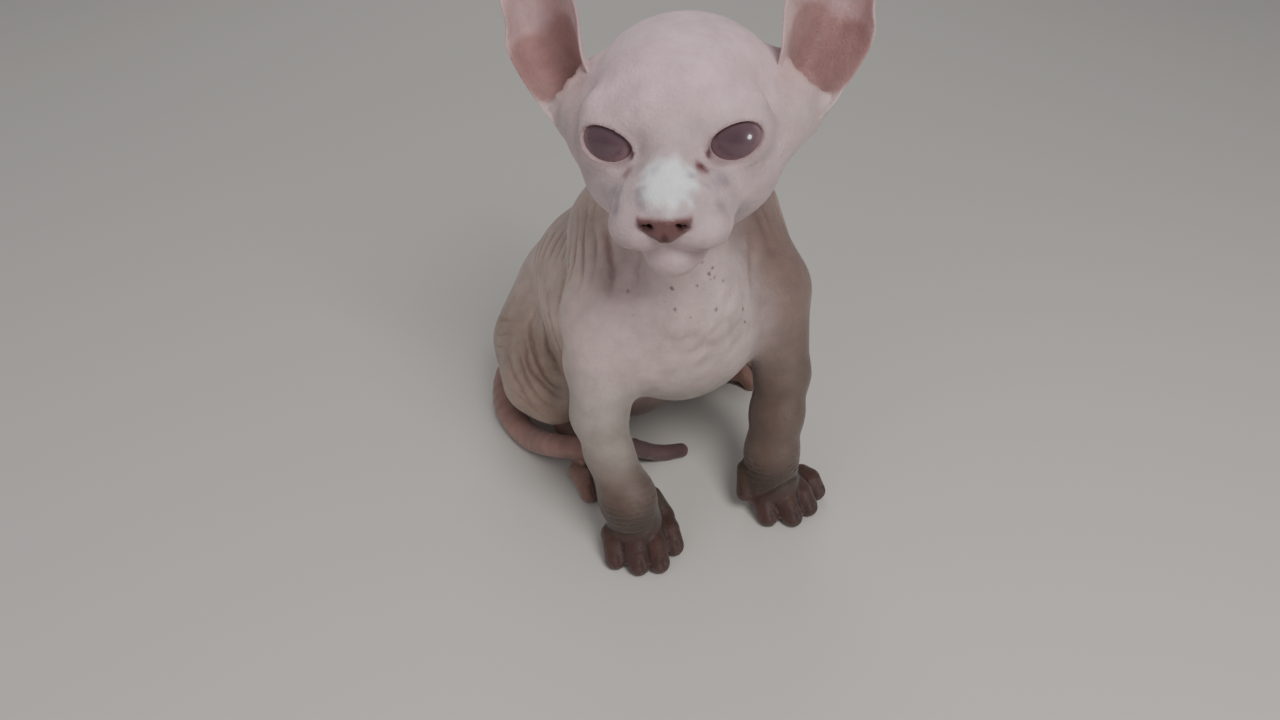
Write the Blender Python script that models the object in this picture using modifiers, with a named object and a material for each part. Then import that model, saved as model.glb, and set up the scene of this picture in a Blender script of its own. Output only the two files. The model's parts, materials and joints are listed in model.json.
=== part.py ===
"""A sitting sphynx kitten at life size, as a still model parted into its named body parts.

The kitten faces -Y, its left side is +X, and it sits on the floor at z = 0. All sizes below are in
millimetres, and become metres when a mesh is written. The body is blocked out from balls (ellipsoids)
and limbs (tapered capsules), fused with the Remesh modifier, and each vertex is then drawn onto the
smoothly blended surface of the same balls and limbs. Thin cuts part the finished skin into its nodes.
"""

import bmesh
import bpy
import numpy as np
from math import cos, pi, radians, sin
from mathutils import Euler, Matrix, Vector

MM = 0.001

# Driving sizes
EYE_RADIUS = 9.6
EYE_DEPTH = 1.8
EYE_SPACING = 33.0
LID_THICKNESS = 1.2
EAR_THICKNESS = 1.7
SKULL_HALF_WIDTH = 27.5
NECK_RADIUS = 19.0
CHEST_HALF_WIDTH = 33.0
WITHERS_HEIGHT = 126.0
FOREARM_RADIUS = 8.3
TOE_RADIUS = 4.0
TAIL_ROOT_RADIUS = 7.5
TAIL_TIP_RADIUS = 3.0
GAP = 0.3
MIDDLE = np.array((10.24, 14.86, 0.0))

# Making of the mesh
VOXEL = 1.25
SKIN_TRIANGLES = 6600
TAIL_SIDES = 8
TAIL_RINGS = 44


def smooth_min(a, b, k):
    """The smaller distance, rounded where the two meet over a width of k."""
    h = np.maximum(k - np.abs(a - b), 0.0) / k
    return np.minimum(a, b) - h * h * k * 0.25


class Ball:
    """An ellipsoid with its half sizes, turned about X, Y and Z in degrees."""

    def __init__(self, centre, radii, turn=(0, 0, 0), blend=6.0):
        self.centre = np.array(centre, float)
        self.radii = np.array(radii, float)
        self.axes = np.array(Euler([radians(a) for a in turn]).to_matrix())
        self.blend = blend
        self.reach = max(radii)

    def distance(self, points):
        local = (points - self.centre) @ self.axes
        near = np.linalg.norm(local / self.radii, axis=1)
        slope = np.linalg.norm(local / self.radii**2, axis=1)
        return near * (near - 1.0) / np.maximum(slope, 1e-9)

    def add_to(self, bm, matrix):
        place = Matrix.Translation(self.centre) @ Matrix(self.axes.tolist()).to_4x4()
        stretch = Matrix.Diagonal((*self.radii, 1.0))
        bmesh.ops.create_uvsphere(
            bm, u_segments=22, v_segments=14, radius=1.0, matrix=matrix @ place @ stretch
        )


class Limb:
    """A tapered capsule from one rounded end to the other."""

    def __init__(self, start, end, start_radius, end_radius, blend=6.0):
        self.start = np.array(start, float)
        self.end = np.array(end, float)
        self.radii = (float(start_radius), float(end_radius))
        self.blend = blend
        self.centre = (self.start + self.end) / 2
        self.reach = np.linalg.norm(self.end - self.start) / 2 + max(self.radii)

    def distance(self, points):
        r1, r2 = self.radii
        along = self.end - self.start
        length2 = along @ along
        taper = r1 - r2
        slant = length2 - taper * taper
        local = points - self.start
        y = local @ along
        z = y - length2
        side = local * length2 - y[:, None] * along
        x2 = np.einsum("ij,ij->i", side, side)
        y2 = y * y * length2
        z2 = z * z * length2
        turn = np.sign(taper) * taper * taper * x2
        middle = (np.sqrt(x2 * slant / length2) + y * taper) / length2 - r1
        past_end = np.sqrt(x2 + z2) / length2 - r2
        before_start = np.sqrt(x2 + y2) / length2 - r1
        at_start = np.sign(y) * slant * y2 < turn
        return np.where(
            np.sign(z) * slant * z2 > turn, past_end, np.where(at_start, before_start, middle)
        )

    def add_to(self, bm, matrix):
        fineness = 3 if max(self.radii) > 2 else 2
        capsule = bmesh.new()
        for end, radius in ((self.start, self.radii[0]), (self.end, self.radii[1])):
            place = matrix @ Matrix.Translation(end)
            bmesh.ops.create_icosphere(
                capsule, subdivisions=fineness, radius=radius, matrix=place
            )
        bmesh.ops.delete(capsule, geom=capsule.faces[:] + capsule.edges[:], context="EDGES_FACES")
        hull = bmesh.ops.convex_hull(capsule, input=capsule.verts[:])
        bmesh.ops.delete(capsule, geom=hull["geom_interior"], context="VERTS")
        mesh = bpy.data.meshes.new("capsule")
        capsule.to_mesh(mesh)
        capsule.free()
        bm.from_mesh(mesh)
        bpy.data.meshes.remove(mesh)


class Frame:
    """A local frame: where it sits, and how it is turned from +X left, -Y forward, +Z up."""

    def __init__(self, origin=(0, 0, 0), yaw=0.0, pitch=0.0, roll=0.0):
        turn = (
            Matrix.Rotation(radians(yaw), 4, "Z")
            @ Matrix.Rotation(radians(pitch), 4, "X")
            @ Matrix.Rotation(radians(roll), 4, "Y")
        )
        self.matrix = Matrix.Translation(origin) @ turn
        self.axes = np.array(self.matrix.to_3x3())
        self.origin = np.array(origin, float)

    def local(self, points):
        return (points - self.origin) @ self.axes

    def world(self, points):
        return np.asarray(points, float) @ self.axes.T + self.origin


class Group:
    """Forms in one frame. A mirrored group's forms also stand on the other side of x = 0."""

    def __init__(self, frame, forms, mirrored=False):
        self.frame = frame
        self.forms = forms
        self.mirrored = mirrored

    def blend_into(self, far, points):
        local = self.frame.local(points)
        if self.mirrored:
            local[:, 0] = np.abs(local[:, 0])
        for form in self.forms:
            near = np.linalg.norm(local - form.centre, axis=1) < form.reach + form.blend + 12
            if near.any():
                far[near] = smooth_min(far[near], form.distance(local[near]), form.blend)
        return far

    def add_to(self, bm):
        sides = [Matrix.Identity(4)]
        if self.mirrored:
            sides.append(Matrix.Diagonal((-1, 1, 1, 1)))
        for side in sides:
            for form in self.forms:
                form.add_to(bm, self.frame.matrix @ side)


WORLD = Frame()
HEAD = Frame(origin=(-22.2, -48.2, 164.0), yaw=-34, pitch=-7, roll=-5)


def nose_forms():
    """The nose leather: a bar across its top, and two sides that meet in a point below."""
    return [
        Limb((0, -21.9, -17.0), (5.2, -21.0, -16.8), 2.7, 2.2, blend=1.2),
        Limb((5.0, -21.1, -17.2), (0.7, -21.9, -20.6), 2.2, 2.2, blend=1.2),
    ]


def head_forms():
    """The skull, face and jaw, from the middle of the line between the eyes. Forward is -Y."""
    w = SKULL_HALF_WIDTH
    eye = EYE_SPACING / 2
    return [
        Ball((0, 25, 5), (w, 29, 23), blend=1),
        Ball((0, 6, 8), (19, 15, 14.5), blend=9),
        Limb((11, 1, -10), (23, 14, -5.5), 8.0, 9.2, blend=7),
        Ball((14.5, 13, -16), (9.5, 14, 10), blend=8),
        Limb((0, -3, 0), (0, -18.5, -12.5), 7.2, 5.3, blend=6),
        Ball((0, -9.5, -16), (12.5, 13, 9.5), blend=6),
        Limb((8.5, -8, -15), (17, 8, -13.5), 7.2, 8.2, blend=8),
        Ball((7.9, -13.6, -20.6), (8.8, 8.8, 6.8), turn=(0, 0, -12), blend=4),
        Ball((0, -9.5, -30), (7.8, 8.5, 6.6), blend=2.6),
        Limb((5, -4, -25.5), (12.5, 20, -20.5), 4.6, 7.6, blend=8),
        Limb((0, 2, -24), (0, 32, -20), 8, 15, blend=9),
        Limb((28, 27, 0), (31.5, 31, 7), 11.2, 8.5, blend=10),
        Limb((35.2, 26, -3), (39.4, 26.5, 1.9), 3.2, 3.0, blend=3),
        Ball((29.8, 23.8, 13.2), (2.0, 1.7, 2.0), blend=1.5),
        Ball((33.4, 22.4, 9.8), (2.1, 1.7, 2.1), blend=1.5),
        Ball((37.0, 23.6, 6.4), (2.0, 1.7, 2.0), blend=1.5),
        Ball((eye, EYE_DEPTH, -0.3), [EYE_RADIUS + LID_THICKNESS] * 3, blend=3),
        Limb((9.5, -3.0, 6.0), (20, 1.0, 8.0), 2.6, 2.2, blend=7),
    ] + nose_forms()


def eye_opening(shrink=0.0):
    """The almond opening between the lids, as one ball that is turned up at its outer corner."""
    r = np.array((8.6, 12.0, 5.2)) - shrink
    return Ball((EYE_SPACING / 2 + 1.9, -11.4, -0.7), r, turn=(0, -21, 14))


def eye_corner():
    """The narrow inner corner of the eye opening."""
    return Ball((EYE_SPACING / 2 - 4.1, -9.2, -2.6), (2.6, 3.6, 1.2), turn=(0, -22, 14))


# The line between the lips, from the middle out to the corner of the mouth
LIP_LINE = [
    (0.0, -23.9, -23.3),
    (4.0, -22.6, -25.2),
    (9.0, -19.2, -26.2),
    (13.0, -13.2, -25.4),
    (15.8, -6.5, -22.8),
]
LIP_GROOVE_RADIUS = 0.55


def head_cuts():
    """What is cut out of each side of the head: nostril with its slit, eye opening and ear bowl."""
    return [
        Limb((3.4, -26.5, -18.4), (4.2, -20.5, -17.2), 1.15, 0.8),
        Limb((4.0, -25.0, -18.1), (6.2, -22.3, -17.2), 0.6, 0.4),
        eye_opening(),
        eye_corner(),
    ] + ear_bowl()


def ear_bowl():
    """What the bowl of each ear takes out of the mound that carries it, and the pit at its bottom."""
    return [
        Ball((40, 30, 16), (13, 12, 11.5), turn=(0, 45, 0)),
        Ball((37, 28.5, 9.5), (5.0, 4.6, 6.5)),
    ]


# The tail's middle line: off the rump, round the right haunch on the floor, over the right hind paw
TAIL_PATH = [
    (0, 84, 30),
    (-5, 94, 19),
    (-15, 98, 10),
    (-29, 91, 6),
    (-41.5, 77, 4.6),
    (-48, 60, 4.2),
    (-49, 47, 4.2),
    (-47.3, 35, 5.3),
    (-44.5, 24, 8.6),
    (-41, 13.5, 13.6),
    (-35, 5, 17.0),
    (-26.5, 0.5, 17.0),
    (-18, 0.8, 15.8),
    (-9.5, 2.2, 9.6),
    (-1, 3, 4.2),
    (9, 2, 2.4),
]


def trunk_forms():
    """Neck, chest, belly and hips."""
    c = CHEST_HALF_WIDTH
    n = NECK_RADIUS
    w = WITHERS_HEIGHT
    return [
        Ball((-1, 4, 94), (c, 36, 35), turn=(18, 0, 0), blend=1),
        Ball((-5, -26, 87.5), (29, 19.5, 30.5), blend=12),
        Limb((0, 2, w - 8), (-7, -20, 146), n + 4, n + 1, blend=10),
        Limb((-8, -36, 104), (-12, -36, 136), 14, 10, blend=12),
        Limb((0, 4, w - 10), (0, 52, 78), 12, 13, blend=10),
        Ball((0, 40, 72), (36.5, 34, 29.5), blend=10),
        Ball((-2, 24, 63), (35, 34, 34), blend=10),
        Ball((-7, 19, 42), (21, 20, 23.5), blend=9),
        Ball((0, 63, 38), (36, 27, 38.3), blend=12),
        Ball((0, 65, 49), (38, 26, 31), blend=12),
        Limb((0, 76, 34), TAIL_PATH[1], 10, TAIL_ROOT_RADIUS, blend=8),
        Limb(TAIL_PATH[1], TAIL_PATH[2], TAIL_ROOT_RADIUS, TAIL_ROOT_RADIUS - 0.6, blend=2),
    ]


# The forearm's places from above down to the ankle, as x, y, z and how much thicker than the forearm
RIGHT_FOREARM = [
    (-38.8, -29, 60, 1.0),
    (-37, -32.5, 45, -0.4),
    (-32.2, -37.3, 26, 1.3),
    (-29.8, -37.5, 14, 1.6),
]
LEFT_FOREARM = [
    (32.3, -31.5, 58, 1.3),
    (29.4, -35, 43, 1.2),
    (27.2, -37.5, 27, 1.3),
    (27.6, -38.3, 14, 2.0),
]


def foreleg_forms(shoulder, elbow, places):
    """A shoulder, the elbow behind it, and the forearm down to the ankle just above the paw."""
    r = FOREARM_RADIUS
    forms = [
        Limb(shoulder, places[0][:3], r + 5.2, r + places[0][3], blend=10),
        Ball(elbow, (r + 0.4, r + 1.2, r + 1.5), blend=9),
    ]
    for above, below in zip(places, places[1:]):
        forms.append(Limb(above[:3], below[:3], r + above[3], r + below[3], blend=4))
    return forms


def hind_leg_forms(side, heel, ball_of_foot):
    """A folded hind leg: thigh forward to the knee, shank back to the hock, and the long foot."""
    s = side
    hx, hy = heel
    middle = ((hx + ball_of_foot[0]) / 2, (hy + ball_of_foot[1]) / 2)
    return [
        Limb((s * 31.5, 57, 36), (s * 41, 30.5, 35.5), 20, 15, blend=10),
        Limb((s * 37, 23, 28.5), (s * (hx + 1), hy - 5, 15), 9.5, 7.5, blend=6),
        Limb((s * hx, hy, 8.0), (s * middle[0], middle[1], 6.6), 7.2, 6.0, blend=5),
        Limb((s * middle[0], middle[1], 6.6), (s * ball_of_foot[0], ball_of_foot[1], 6.2), 6.0, 6.2, blend=4),
    ]


# Toes as (knuckle x, y), (tip x, y), from the kitten's outer toe to its inner one
RIGHT_PAW_TOES = [
    ((-38.0, -36.5), (-39.6, -43.5)),
    ((-31.8, -39.0), (-33.2, -49.6)),
    ((-25.0, -39.5), (-26.0, -51.6)),
    ((-18.0, -36.5), (-17.6, -46.0)),
]
LEFT_PAW_TOES = [
    ((42.5, -37.0), (46.5, -42.0)),
    ((36.0, -40.0), (38.8, -48.5)),
    ((28.5, -41.0), (30.4, -51.0)),
    ((21.4, -39.0), (22.0, -47.0)),
]
RIGHT_HIND_TOES = [
    ((-36.0, 3.0), (-35.4, -7.0)),
    ((-30.6, 0.5), (-30.0, -11.5)),
    ((-24.4, 0.5), (-23.4, -11.5)),
    ((-19.0, 3.5), (-17.6, -6.5)),
]
LEFT_HIND_TOES = [
    ((66.0, 47.5), (72.5, 41.0)),
    ((63.5, 42.0), (71.0, 34.5)),
    ((59.0, 39.0), (66.0, 31.0)),
    ((53.0, 38.5), (59.0, 31.5)),
]


def toe_forms(toes, knuckle_height=9.0, radius=TOE_RADIUS):
    """Each toe arches from its knuckle down to a rounded tip on the floor."""
    forms = []
    for (kx, ky), (tx, ty) in toes:
        knuckle = np.array((kx, ky, knuckle_height))
        tip = np.array((tx, ty, radius - 0.6))
        bend = knuckle * 0.45 + tip * 0.55 + np.array((0, 0, 2.4))
        forms.append(Limb(knuckle, bend, radius + 0.3, radius + 0.1, blend=1.0))
        forms.append(Limb(bend, tip, radius + 0.1, radius, blend=0.6))
    return forms


def paw_forms(centre, radii, toes, turn=0, knuckle_height=9.0):
    palm = Ball(centre, radii, turn=(0, 0, turn), blend=3)
    return [palm] + toe_forms(toes, knuckle_height)


def body_groups():
    """Every form of the skin but for the tail and the ears."""
    right_foreleg = foreleg_forms((-32, -20, 90), (-36, -13, 71), RIGHT_FOREARM)
    left_foreleg = foreleg_forms((30, -23, 87), (32, -14, 69), LEFT_FOREARM)
    shoulders = [
        Limb((-20, 4, 112), (-30, -18, 94), 13, 14, blend=10),
        Limb((24, -5, 114), (27, -20, 94), 14.5, 13.5, blend=10),
    ]
    paws = paw_forms((-28.2, -37.5, 6.8), (13, 10, 7.6), RIGHT_PAW_TOES)
    paws += paw_forms((31, -38.5, 6.8), (13.5, 10, 7.6), LEFT_PAW_TOES)
    paws.append(Limb((-20.5, -33, 18), (-16.6, -36.5, 10.5), 3.8, 3.2, blend=2))
    paws.append(Limb((19, -34, 18), (16, -38.5, 10.5), 3.8, 3.1, blend=2))
    legs = shoulders + right_foreleg + left_foreleg
    legs += hind_leg_forms(-1, heel=(29, 60), ball_of_foot=(28, 8))
    legs += hind_leg_forms(1, heel=(29, 68), ball_of_foot=(54.5, 47))
    paws += paw_forms((-27.5, 5, 5.8), (10.5, 9, 6.0), RIGHT_HIND_TOES, knuckle_height=6.3)
    paws += paw_forms((58, 44.5, 5.8), (10.5, 9, 6.0), LEFT_HIND_TOES, turn=40, knuckle_height=6.3)
    return [
        Group(WORLD, trunk_forms()),
        Group(HEAD, head_forms(), mirrored=True),
        Group(WORLD, legs),
        Group(WORLD, paws),
    ]


def skin_distance(points, groups):
    far = np.full(len(points), 1e3)
    for group in groups:
        far = group.blend_into(far, points)
    return np.maximum(far, -points[:, 2])


def drawn_onto(points, distance, rounds=4, longest=2.5):
    """Moves each point along the slope of the distance until it lies on the blended surface."""
    step = 0.05
    corners = np.array(((1, -1, -1), (-1, -1, 1), (-1, 1, -1), (1, 1, 1)), float)
    for _ in range(rounds):
        slope = sum(c * distance(points + c * step)[:, None] for c in corners) / (4 * step)
        steep = np.maximum(np.linalg.norm(slope, axis=1), 0.2)
        move = distance(points) / steep**2
        move = np.clip(move * steep, -longest, longest) / steep
        points = points - slope * move[:, None]
    return points


def points_of(mesh):
    flat = np.empty(len(mesh.vertices) * 3, np.float32)
    mesh.vertices.foreach_get("co", flat)
    return flat.reshape(-1, 3).astype(float)


def set_points(mesh, points):
    mesh.vertices.foreach_set("co", np.asarray(points, np.float32).ravel())
    mesh.update()


def even_out(mesh, points, distance, rounds=2):
    """Slides the points towards their neighbours' middle, then back onto the surface."""
    ends = np.empty(len(mesh.edges) * 2, np.int32)
    mesh.edges.foreach_get("vertices", ends)
    a, b = ends.reshape(-1, 2).T
    count = np.bincount(np.concatenate((a, b)), minlength=len(points))[:, None]
    for _ in range(rounds):
        total = np.zeros_like(points)
        np.add.at(total, a, points[b])
        np.add.at(total, b, points[a])
        points = drawn_onto(points * 0.4 + total / count * 0.6, distance, rounds=1)
    return points


def new_object(name, mesh, collection):
    obj = bpy.data.objects.new(name, mesh)
    collection.objects.link(obj)
    return obj


def applied(obj):
    """The object's mesh with its modifiers applied, and the modifiers removed."""
    graph = bpy.context.evaluated_depsgraph_get()
    mesh = bpy.data.meshes.new_from_object(obj.evaluated_get(graph))
    obj.modifiers.clear()
    old = obj.data
    obj.data = mesh
    bpy.data.meshes.remove(old)
    return obj


def blocked_out(name, groups, voxel, collection):
    """The forms' own meshes fused into one closed surface, still in millimetres."""
    bm = bmesh.new()
    for group in groups:
        group.add_to(bm)
    mesh = bpy.data.meshes.new(name)
    bm.to_mesh(mesh)
    bm.free()
    return fuse(new_object(name, mesh, collection), voxel)


def fuse(obj, voxel):
    """Rebuilds the object as one even surface, with what lies inside it gone."""
    remesh = obj.modifiers.new("Fuse", "REMESH")
    remesh.mode = "VOXEL"
    remesh.voxel_size = voxel
    remesh.adaptivity = 0.0
    return applied(obj)


def make_skin(collection):
    groups = body_groups()

    def distance(points):
        return skin_distance(points, groups)

    skin = blocked_out("skin", groups, VOXEL, collection)
    for _ in range(2):
        set_points(skin.data, drawn_onto(points_of(skin.data), distance, rounds=3))
        fuse(skin, VOXEL)
        largest_piece(skin)
    points = drawn_onto(points_of(skin.data), distance, rounds=2)
    points = even_out(skin.data, points, distance)
    points = drawn_onto(points, distance, rounds=1)
    points[points[:, 2] < 0.06, 2] = 0.0
    set_points(skin.data, points)

    # The face and the toes keep more of their faces than the trunk does
    local = HEAD.local(points)
    face = np.clip((local[:, 1] - 8) / 24, 0, 1) + np.clip((-28 - local[:, 2]) / 10, 0, 1)
    toes = np.clip((points[:, 2] - 10) / 12, 0, 1)
    coarse = skin.vertex_groups.new(name="coarse")
    for index, weight in enumerate(np.minimum(np.clip(face, 0, 1), toes)):
        coarse.add([index], 0.12 + 0.88 * float(weight), "REPLACE")
    fewer = skin.modifiers.new("Fewer faces", "DECIMATE")
    fewer.ratio = SKIN_TRIANGLES / (2 * len(skin.data.polygons))
    fewer.vertex_group = coarse.name
    fewer.vertex_group_factor = 0.03
    return applied(skin)


def smooth_line(stops, samples):
    """Points evenly spread along a smooth line through the stops (Catmull-Rom)."""
    stops = np.array(stops, float)
    ends = np.vstack((2 * stops[0] - stops[1], stops, 2 * stops[-1] - stops[-2]))
    dense = []
    for i in range(1, len(ends) - 2):
        a, b, c, d = ends[i - 1 : i + 3]
        for t in np.linspace(0, 1, 24, endpoint=False):
            dense.append(
                b + (c - a) * t / 2 + (2 * a - 5 * b + 4 * c - d) * t**2 / 2
                + (3 * b - a - 3 * c + d) * t**3 / 2
            )
    dense = np.array(dense + [stops[-1]])
    run = np.concatenate(([0], np.cumsum(np.linalg.norm(np.diff(dense, axis=0), axis=1))))
    at = np.linspace(0, run[-1], samples)
    return np.stack([np.interp(at, run, dense[:, k]) for k in range(dense.shape[1])], axis=1)


# The ear's outline in the head's frame, from inside the head to the tip
EAR_MEDIAL_EDGE = [(25, 22, 8), (28, 18.6, 17.5), (29, 20.5, 31), (34.5, 25.5, 46), (45, 30, 58)]
EAR_BACK = [(30, 35, 0), (36.5, 39.5, 13), (43.5, 40.5, 28), (48, 38, 43), (50, 33, 60)]
EAR_OUTER_EDGE = [
    (37.5, 22, -4),
    (45.5, 23.5, 5.5),
    (51, 26.5, 13.5),
    (53.5, 27.5, 19),
    (52.5, 28.5, 26),
    (54, 29.5, 34),
    (54.5, 31, 46),
    (52, 31.5, 57.5),
]


def make_ear(side, collection):
    """A thin cupped sheet, open to the front, bent through its two edges and the middle of its back."""
    rows, columns = 12, 9
    medial, back, outer = (
        smooth_line(line, rows) for line in (EAR_MEDIAL_EDGE, EAR_BACK, EAR_OUTER_EDGE)
    )
    bm = bmesh.new()
    grid = []
    for r in range(rows):
        row = []
        for u in np.linspace(-1, 1, columns):
            point = medial[r] * u * (u - 1) / 2 + back[r] * (1 - u * u) + outer[r] * u * (u + 1) / 2
            point = point * np.array((side, 1, 1))
            row.append(bm.verts.new(HEAD.world(point[None])[0]))
        grid.append(row)
    for r in range(rows - 1):
        for c in range(columns - 1):
            corners = [grid[r][c], grid[r][c + 1], grid[r + 1][c + 1], grid[r + 1][c]]
            bm.faces.new(corners if side > 0 else corners[::-1])
    mesh = bpy.data.meshes.new("ear")
    bm.to_mesh(mesh)
    bm.free()
    ear = new_object("ear_left" if side > 0 else "ear_right", mesh, collection)
    thicken = ear.modifiers.new("Thickness", "SOLIDIFY")
    thicken.thickness = EAR_THICKNESS
    thicken.offset = 0.0
    thicken.use_even_offset = True
    return applied(ear)


def make_eye(side, collection):
    """The part of the eyeball that shows between the lids, closed at the back by the socket."""
    name = "eye_left" if side > 0 else "eye_right"
    eye = form_object(name, eye_opening(shrink=GAP), side, collection)
    bm = bmesh.new()
    centre = Matrix.Translation((side * EYE_SPACING / 2, EYE_DEPTH, -0.3))
    turned = Matrix.Rotation(radians(90), 4, "X")
    bmesh.ops.create_uvsphere(
        bm, u_segments=28, v_segments=18, radius=EYE_RADIUS, matrix=HEAD.matrix @ centre @ turned
    )
    mesh = bpy.data.meshes.new("globe")
    bm.to_mesh(mesh)
    bm.free()
    globe = new_object("globe", mesh, collection)
    combine(eye, globe, "INTERSECT")
    bpy.data.objects.remove(globe, do_unlink=True)
    return eye


def make_tube(name, path, radii, sides, collection):
    """A tube along the path with closed, flat ends. Points below the floor are pressed flat onto it."""
    bm = bmesh.new()
    previous = None
    for i, (centre, radius) in enumerate(zip(path, radii)):
        along = Vector(path[min(i + 1, len(path) - 1)] - path[max(i - 1, 0)]).normalized()
        side = along.cross(Vector((0, 0, 1))).normalized()
        up = side.cross(along)
        ring = []
        for k in range(sides):
            angle = 2 * pi * k / sides
            offset = side * (cos(angle) * radius) + up * (sin(angle) * radius)
            point = Vector(centre) + offset
            point.z = max(point.z, 0.0)
            ring.append(bm.verts.new(point))
        if previous:
            for k in range(sides):
                n = (k + 1) % sides
                bm.faces.new((previous[k], ring[k], ring[n], previous[n]))
        else:
            bm.faces.new(ring)
        previous = ring
    bm.faces.new(previous[::-1])
    bmesh.ops.recalc_face_normals(bm, faces=bm.faces[:])
    mesh = bpy.data.meshes.new(name)
    bm.to_mesh(mesh)
    bm.free()
    return new_object(name, mesh, collection)


def make_tail(collection):
    """The tapering tail, lifted where it has to be so that it rests on the floor."""
    path = smooth_line(TAIL_PATH[1:], TAIL_RINGS)
    radii = [tail_radius(i / (TAIL_RINGS - 1)) for i in range(TAIL_RINGS)]
    for centre, radius in zip(path, radii):
        centre[2] = max(centre[2], radius - 0.15)
    return make_tube("tail", path, radii, TAIL_SIDES, collection)


def tail_radius(share):
    """The tail's radius at a share of its length: it thins steadily and closes round at the tip."""
    radius = TAIL_ROOT_RADIUS + (TAIL_TIP_RADIUS - TAIL_ROOT_RADIUS) * share**1.1
    if share > 0.97:
        radius *= max(1 - ((share - 0.97) / 0.03) ** 2, 0.1) ** 0.5
    return radius


def combine(obj, other, operation):
    boolean = obj.modifiers.new(operation.title(), "BOOLEAN")
    boolean.operation = operation
    boolean.solver = "EXACT"
    boolean.object = other
    return applied(obj)


def region(planes, collection, grown=0.0):
    """The space behind all the planes, each given as a point and the normal that leads out of it."""
    bm = bmesh.new()
    bmesh.ops.create_cube(bm, size=800)
    for point, normal in planes:
        outward = Vector(normal).normalized()
        cut = bmesh.ops.bisect_plane(
            bm,
            geom=bm.verts[:] + bm.edges[:] + bm.faces[:],
            plane_co=Vector(point) + outward * grown,
            plane_no=outward,
            clear_outer=True,
        )
        edges = [e for e in cut["geom_cut"] if isinstance(e, bmesh.types.BMEdge)]
        bmesh.ops.holes_fill(bm, edges=edges)
    bmesh.ops.recalc_face_normals(bm, faces=bm.faces[:])
    mesh = bpy.data.meshes.new("region")
    bm.to_mesh(mesh)
    bm.free()
    return new_object("region", mesh, collection)


def largest_piece(obj):
    """Keeps the piece with the most volume, and returns how many cubic millimetres were left out."""
    bm = bmesh.new()
    bm.from_mesh(obj.data)
    bmesh.ops.remove_doubles(bm, verts=bm.verts[:], dist=1e-4)
    unseen = set(bm.verts)
    pieces = []
    while unseen:
        stack = [unseen.pop()]
        piece = set(stack)
        while stack:
            for edge in stack.pop().link_edges:
                for vert in edge.verts:
                    if vert in unseen:
                        unseen.remove(vert)
                        piece.add(vert)
                        stack.append(vert)
        pieces.append(piece)

    def volume(piece):
        total = 0.0
        for face in {f for v in piece for f in v.link_faces}:
            corners = [v.co for v in face.verts]
            for i in range(1, len(corners) - 1):
                total += corners[0].dot(corners[i].cross(corners[i + 1])) / 6
        return abs(total)

    sizes = [volume(piece) for piece in pieces]
    keep = pieces[sizes.index(max(sizes))]
    bmesh.ops.delete(bm, geom=[v for v in bm.verts if v not in keep], context="VERTS")
    bm.to_mesh(obj.data)
    bm.free()
    return sum(sizes) - max(sizes)


# Planes that part the skin, as a point and a normal
HEAD_UP = HEAD.axes @ np.array((0, -0.546, 0.838))
HEAD_BASE = (HEAD.world([(0, 26, -23)])[0], -HEAD_UP)
NECK_UP = (-0.19, -0.61, 0.77)
NECK_BASE = ((-2, -7, 125), [-v for v in NECK_UP])
FORELEG_TOP = ((-2, -7, 122), NECK_UP)
TAIL_START = ((-5, 94, 19), (0.34, -0.5, 0.79))
TAIL_PARTS = [("tail_base", 5, 6), ("tail_middle", 9, 10)]


def turned_round(plane):
    point, normal = plane
    return (point, [-v for v in normal])


def leg_regions(side):
    """The spaces of one side's foreleg, forepaw, hind leg and hind foot."""
    s = side
    inner = ((s * 14, -34, 62), (-s * 0.92, 0, 0.40))
    rear = ((0, -6, 62), (0, 0.975, -0.22))
    wrist = ((0, -40, 19), (0, 0.25, -1))
    hip = ((s * 23, 50, 10), (-s * 1, 0, 0.12))
    foot_side = ((s * 20, 50, 0), (-s * 1, 0.2, 0))
    hip_top = ((0, 50, 62), (0, -0.25, 1))
    foot_top = ((0, 0, 14.6), (0, 0.045, 1))
    front = ((0, -15.5, 0), (0, -1, 0))
    return {
        "foreleg": [inner, rear, wrist, FORELEG_TOP],
        "forepaw": [inner, rear, turned_round(wrist)],
        "hindleg": [hip, hip_top, turned_round(foot_top), front],
        "hindfoot": [foot_side, foot_top, front],
    }


def take(skin, name, planes, collection):
    """Takes the part of the skin inside the planes as a new object, and leaves a gap around it."""
    inside = region(planes, collection)
    around = region(planes, collection, grown=GAP)
    part = new_object(name, skin.data.copy(), collection)
    combine(part, inside, "INTERSECT")
    combine(skin, around, "DIFFERENCE")
    for helper in (inside, around):
        bpy.data.objects.remove(helper, do_unlink=True)
    largest_piece(part)
    return part


def grown_copy(obj, collection):
    """A copy whose surface stands out by the gap, to cut a neighbour free of it."""
    copy = new_object("grown", obj.data.copy(), collection)
    grow = copy.modifiers.new("Grow", "DISPLACE")
    grow.strength = GAP
    grow.mid_level = 0.0
    return applied(copy)


def form_object(name, form, side, collection):
    """One form of the head as an object of its own, on the side asked for."""
    bm = bmesh.new()
    form.add_to(bm, HEAD.matrix @ Matrix.Diagonal((side, 1, 1, 1)))
    bmesh.ops.recalc_face_normals(bm, faces=bm.faces[:])
    mesh = bpy.data.meshes.new(name)
    bm.to_mesh(mesh)
    bm.free()
    return new_object(name, mesh, collection)


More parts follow.
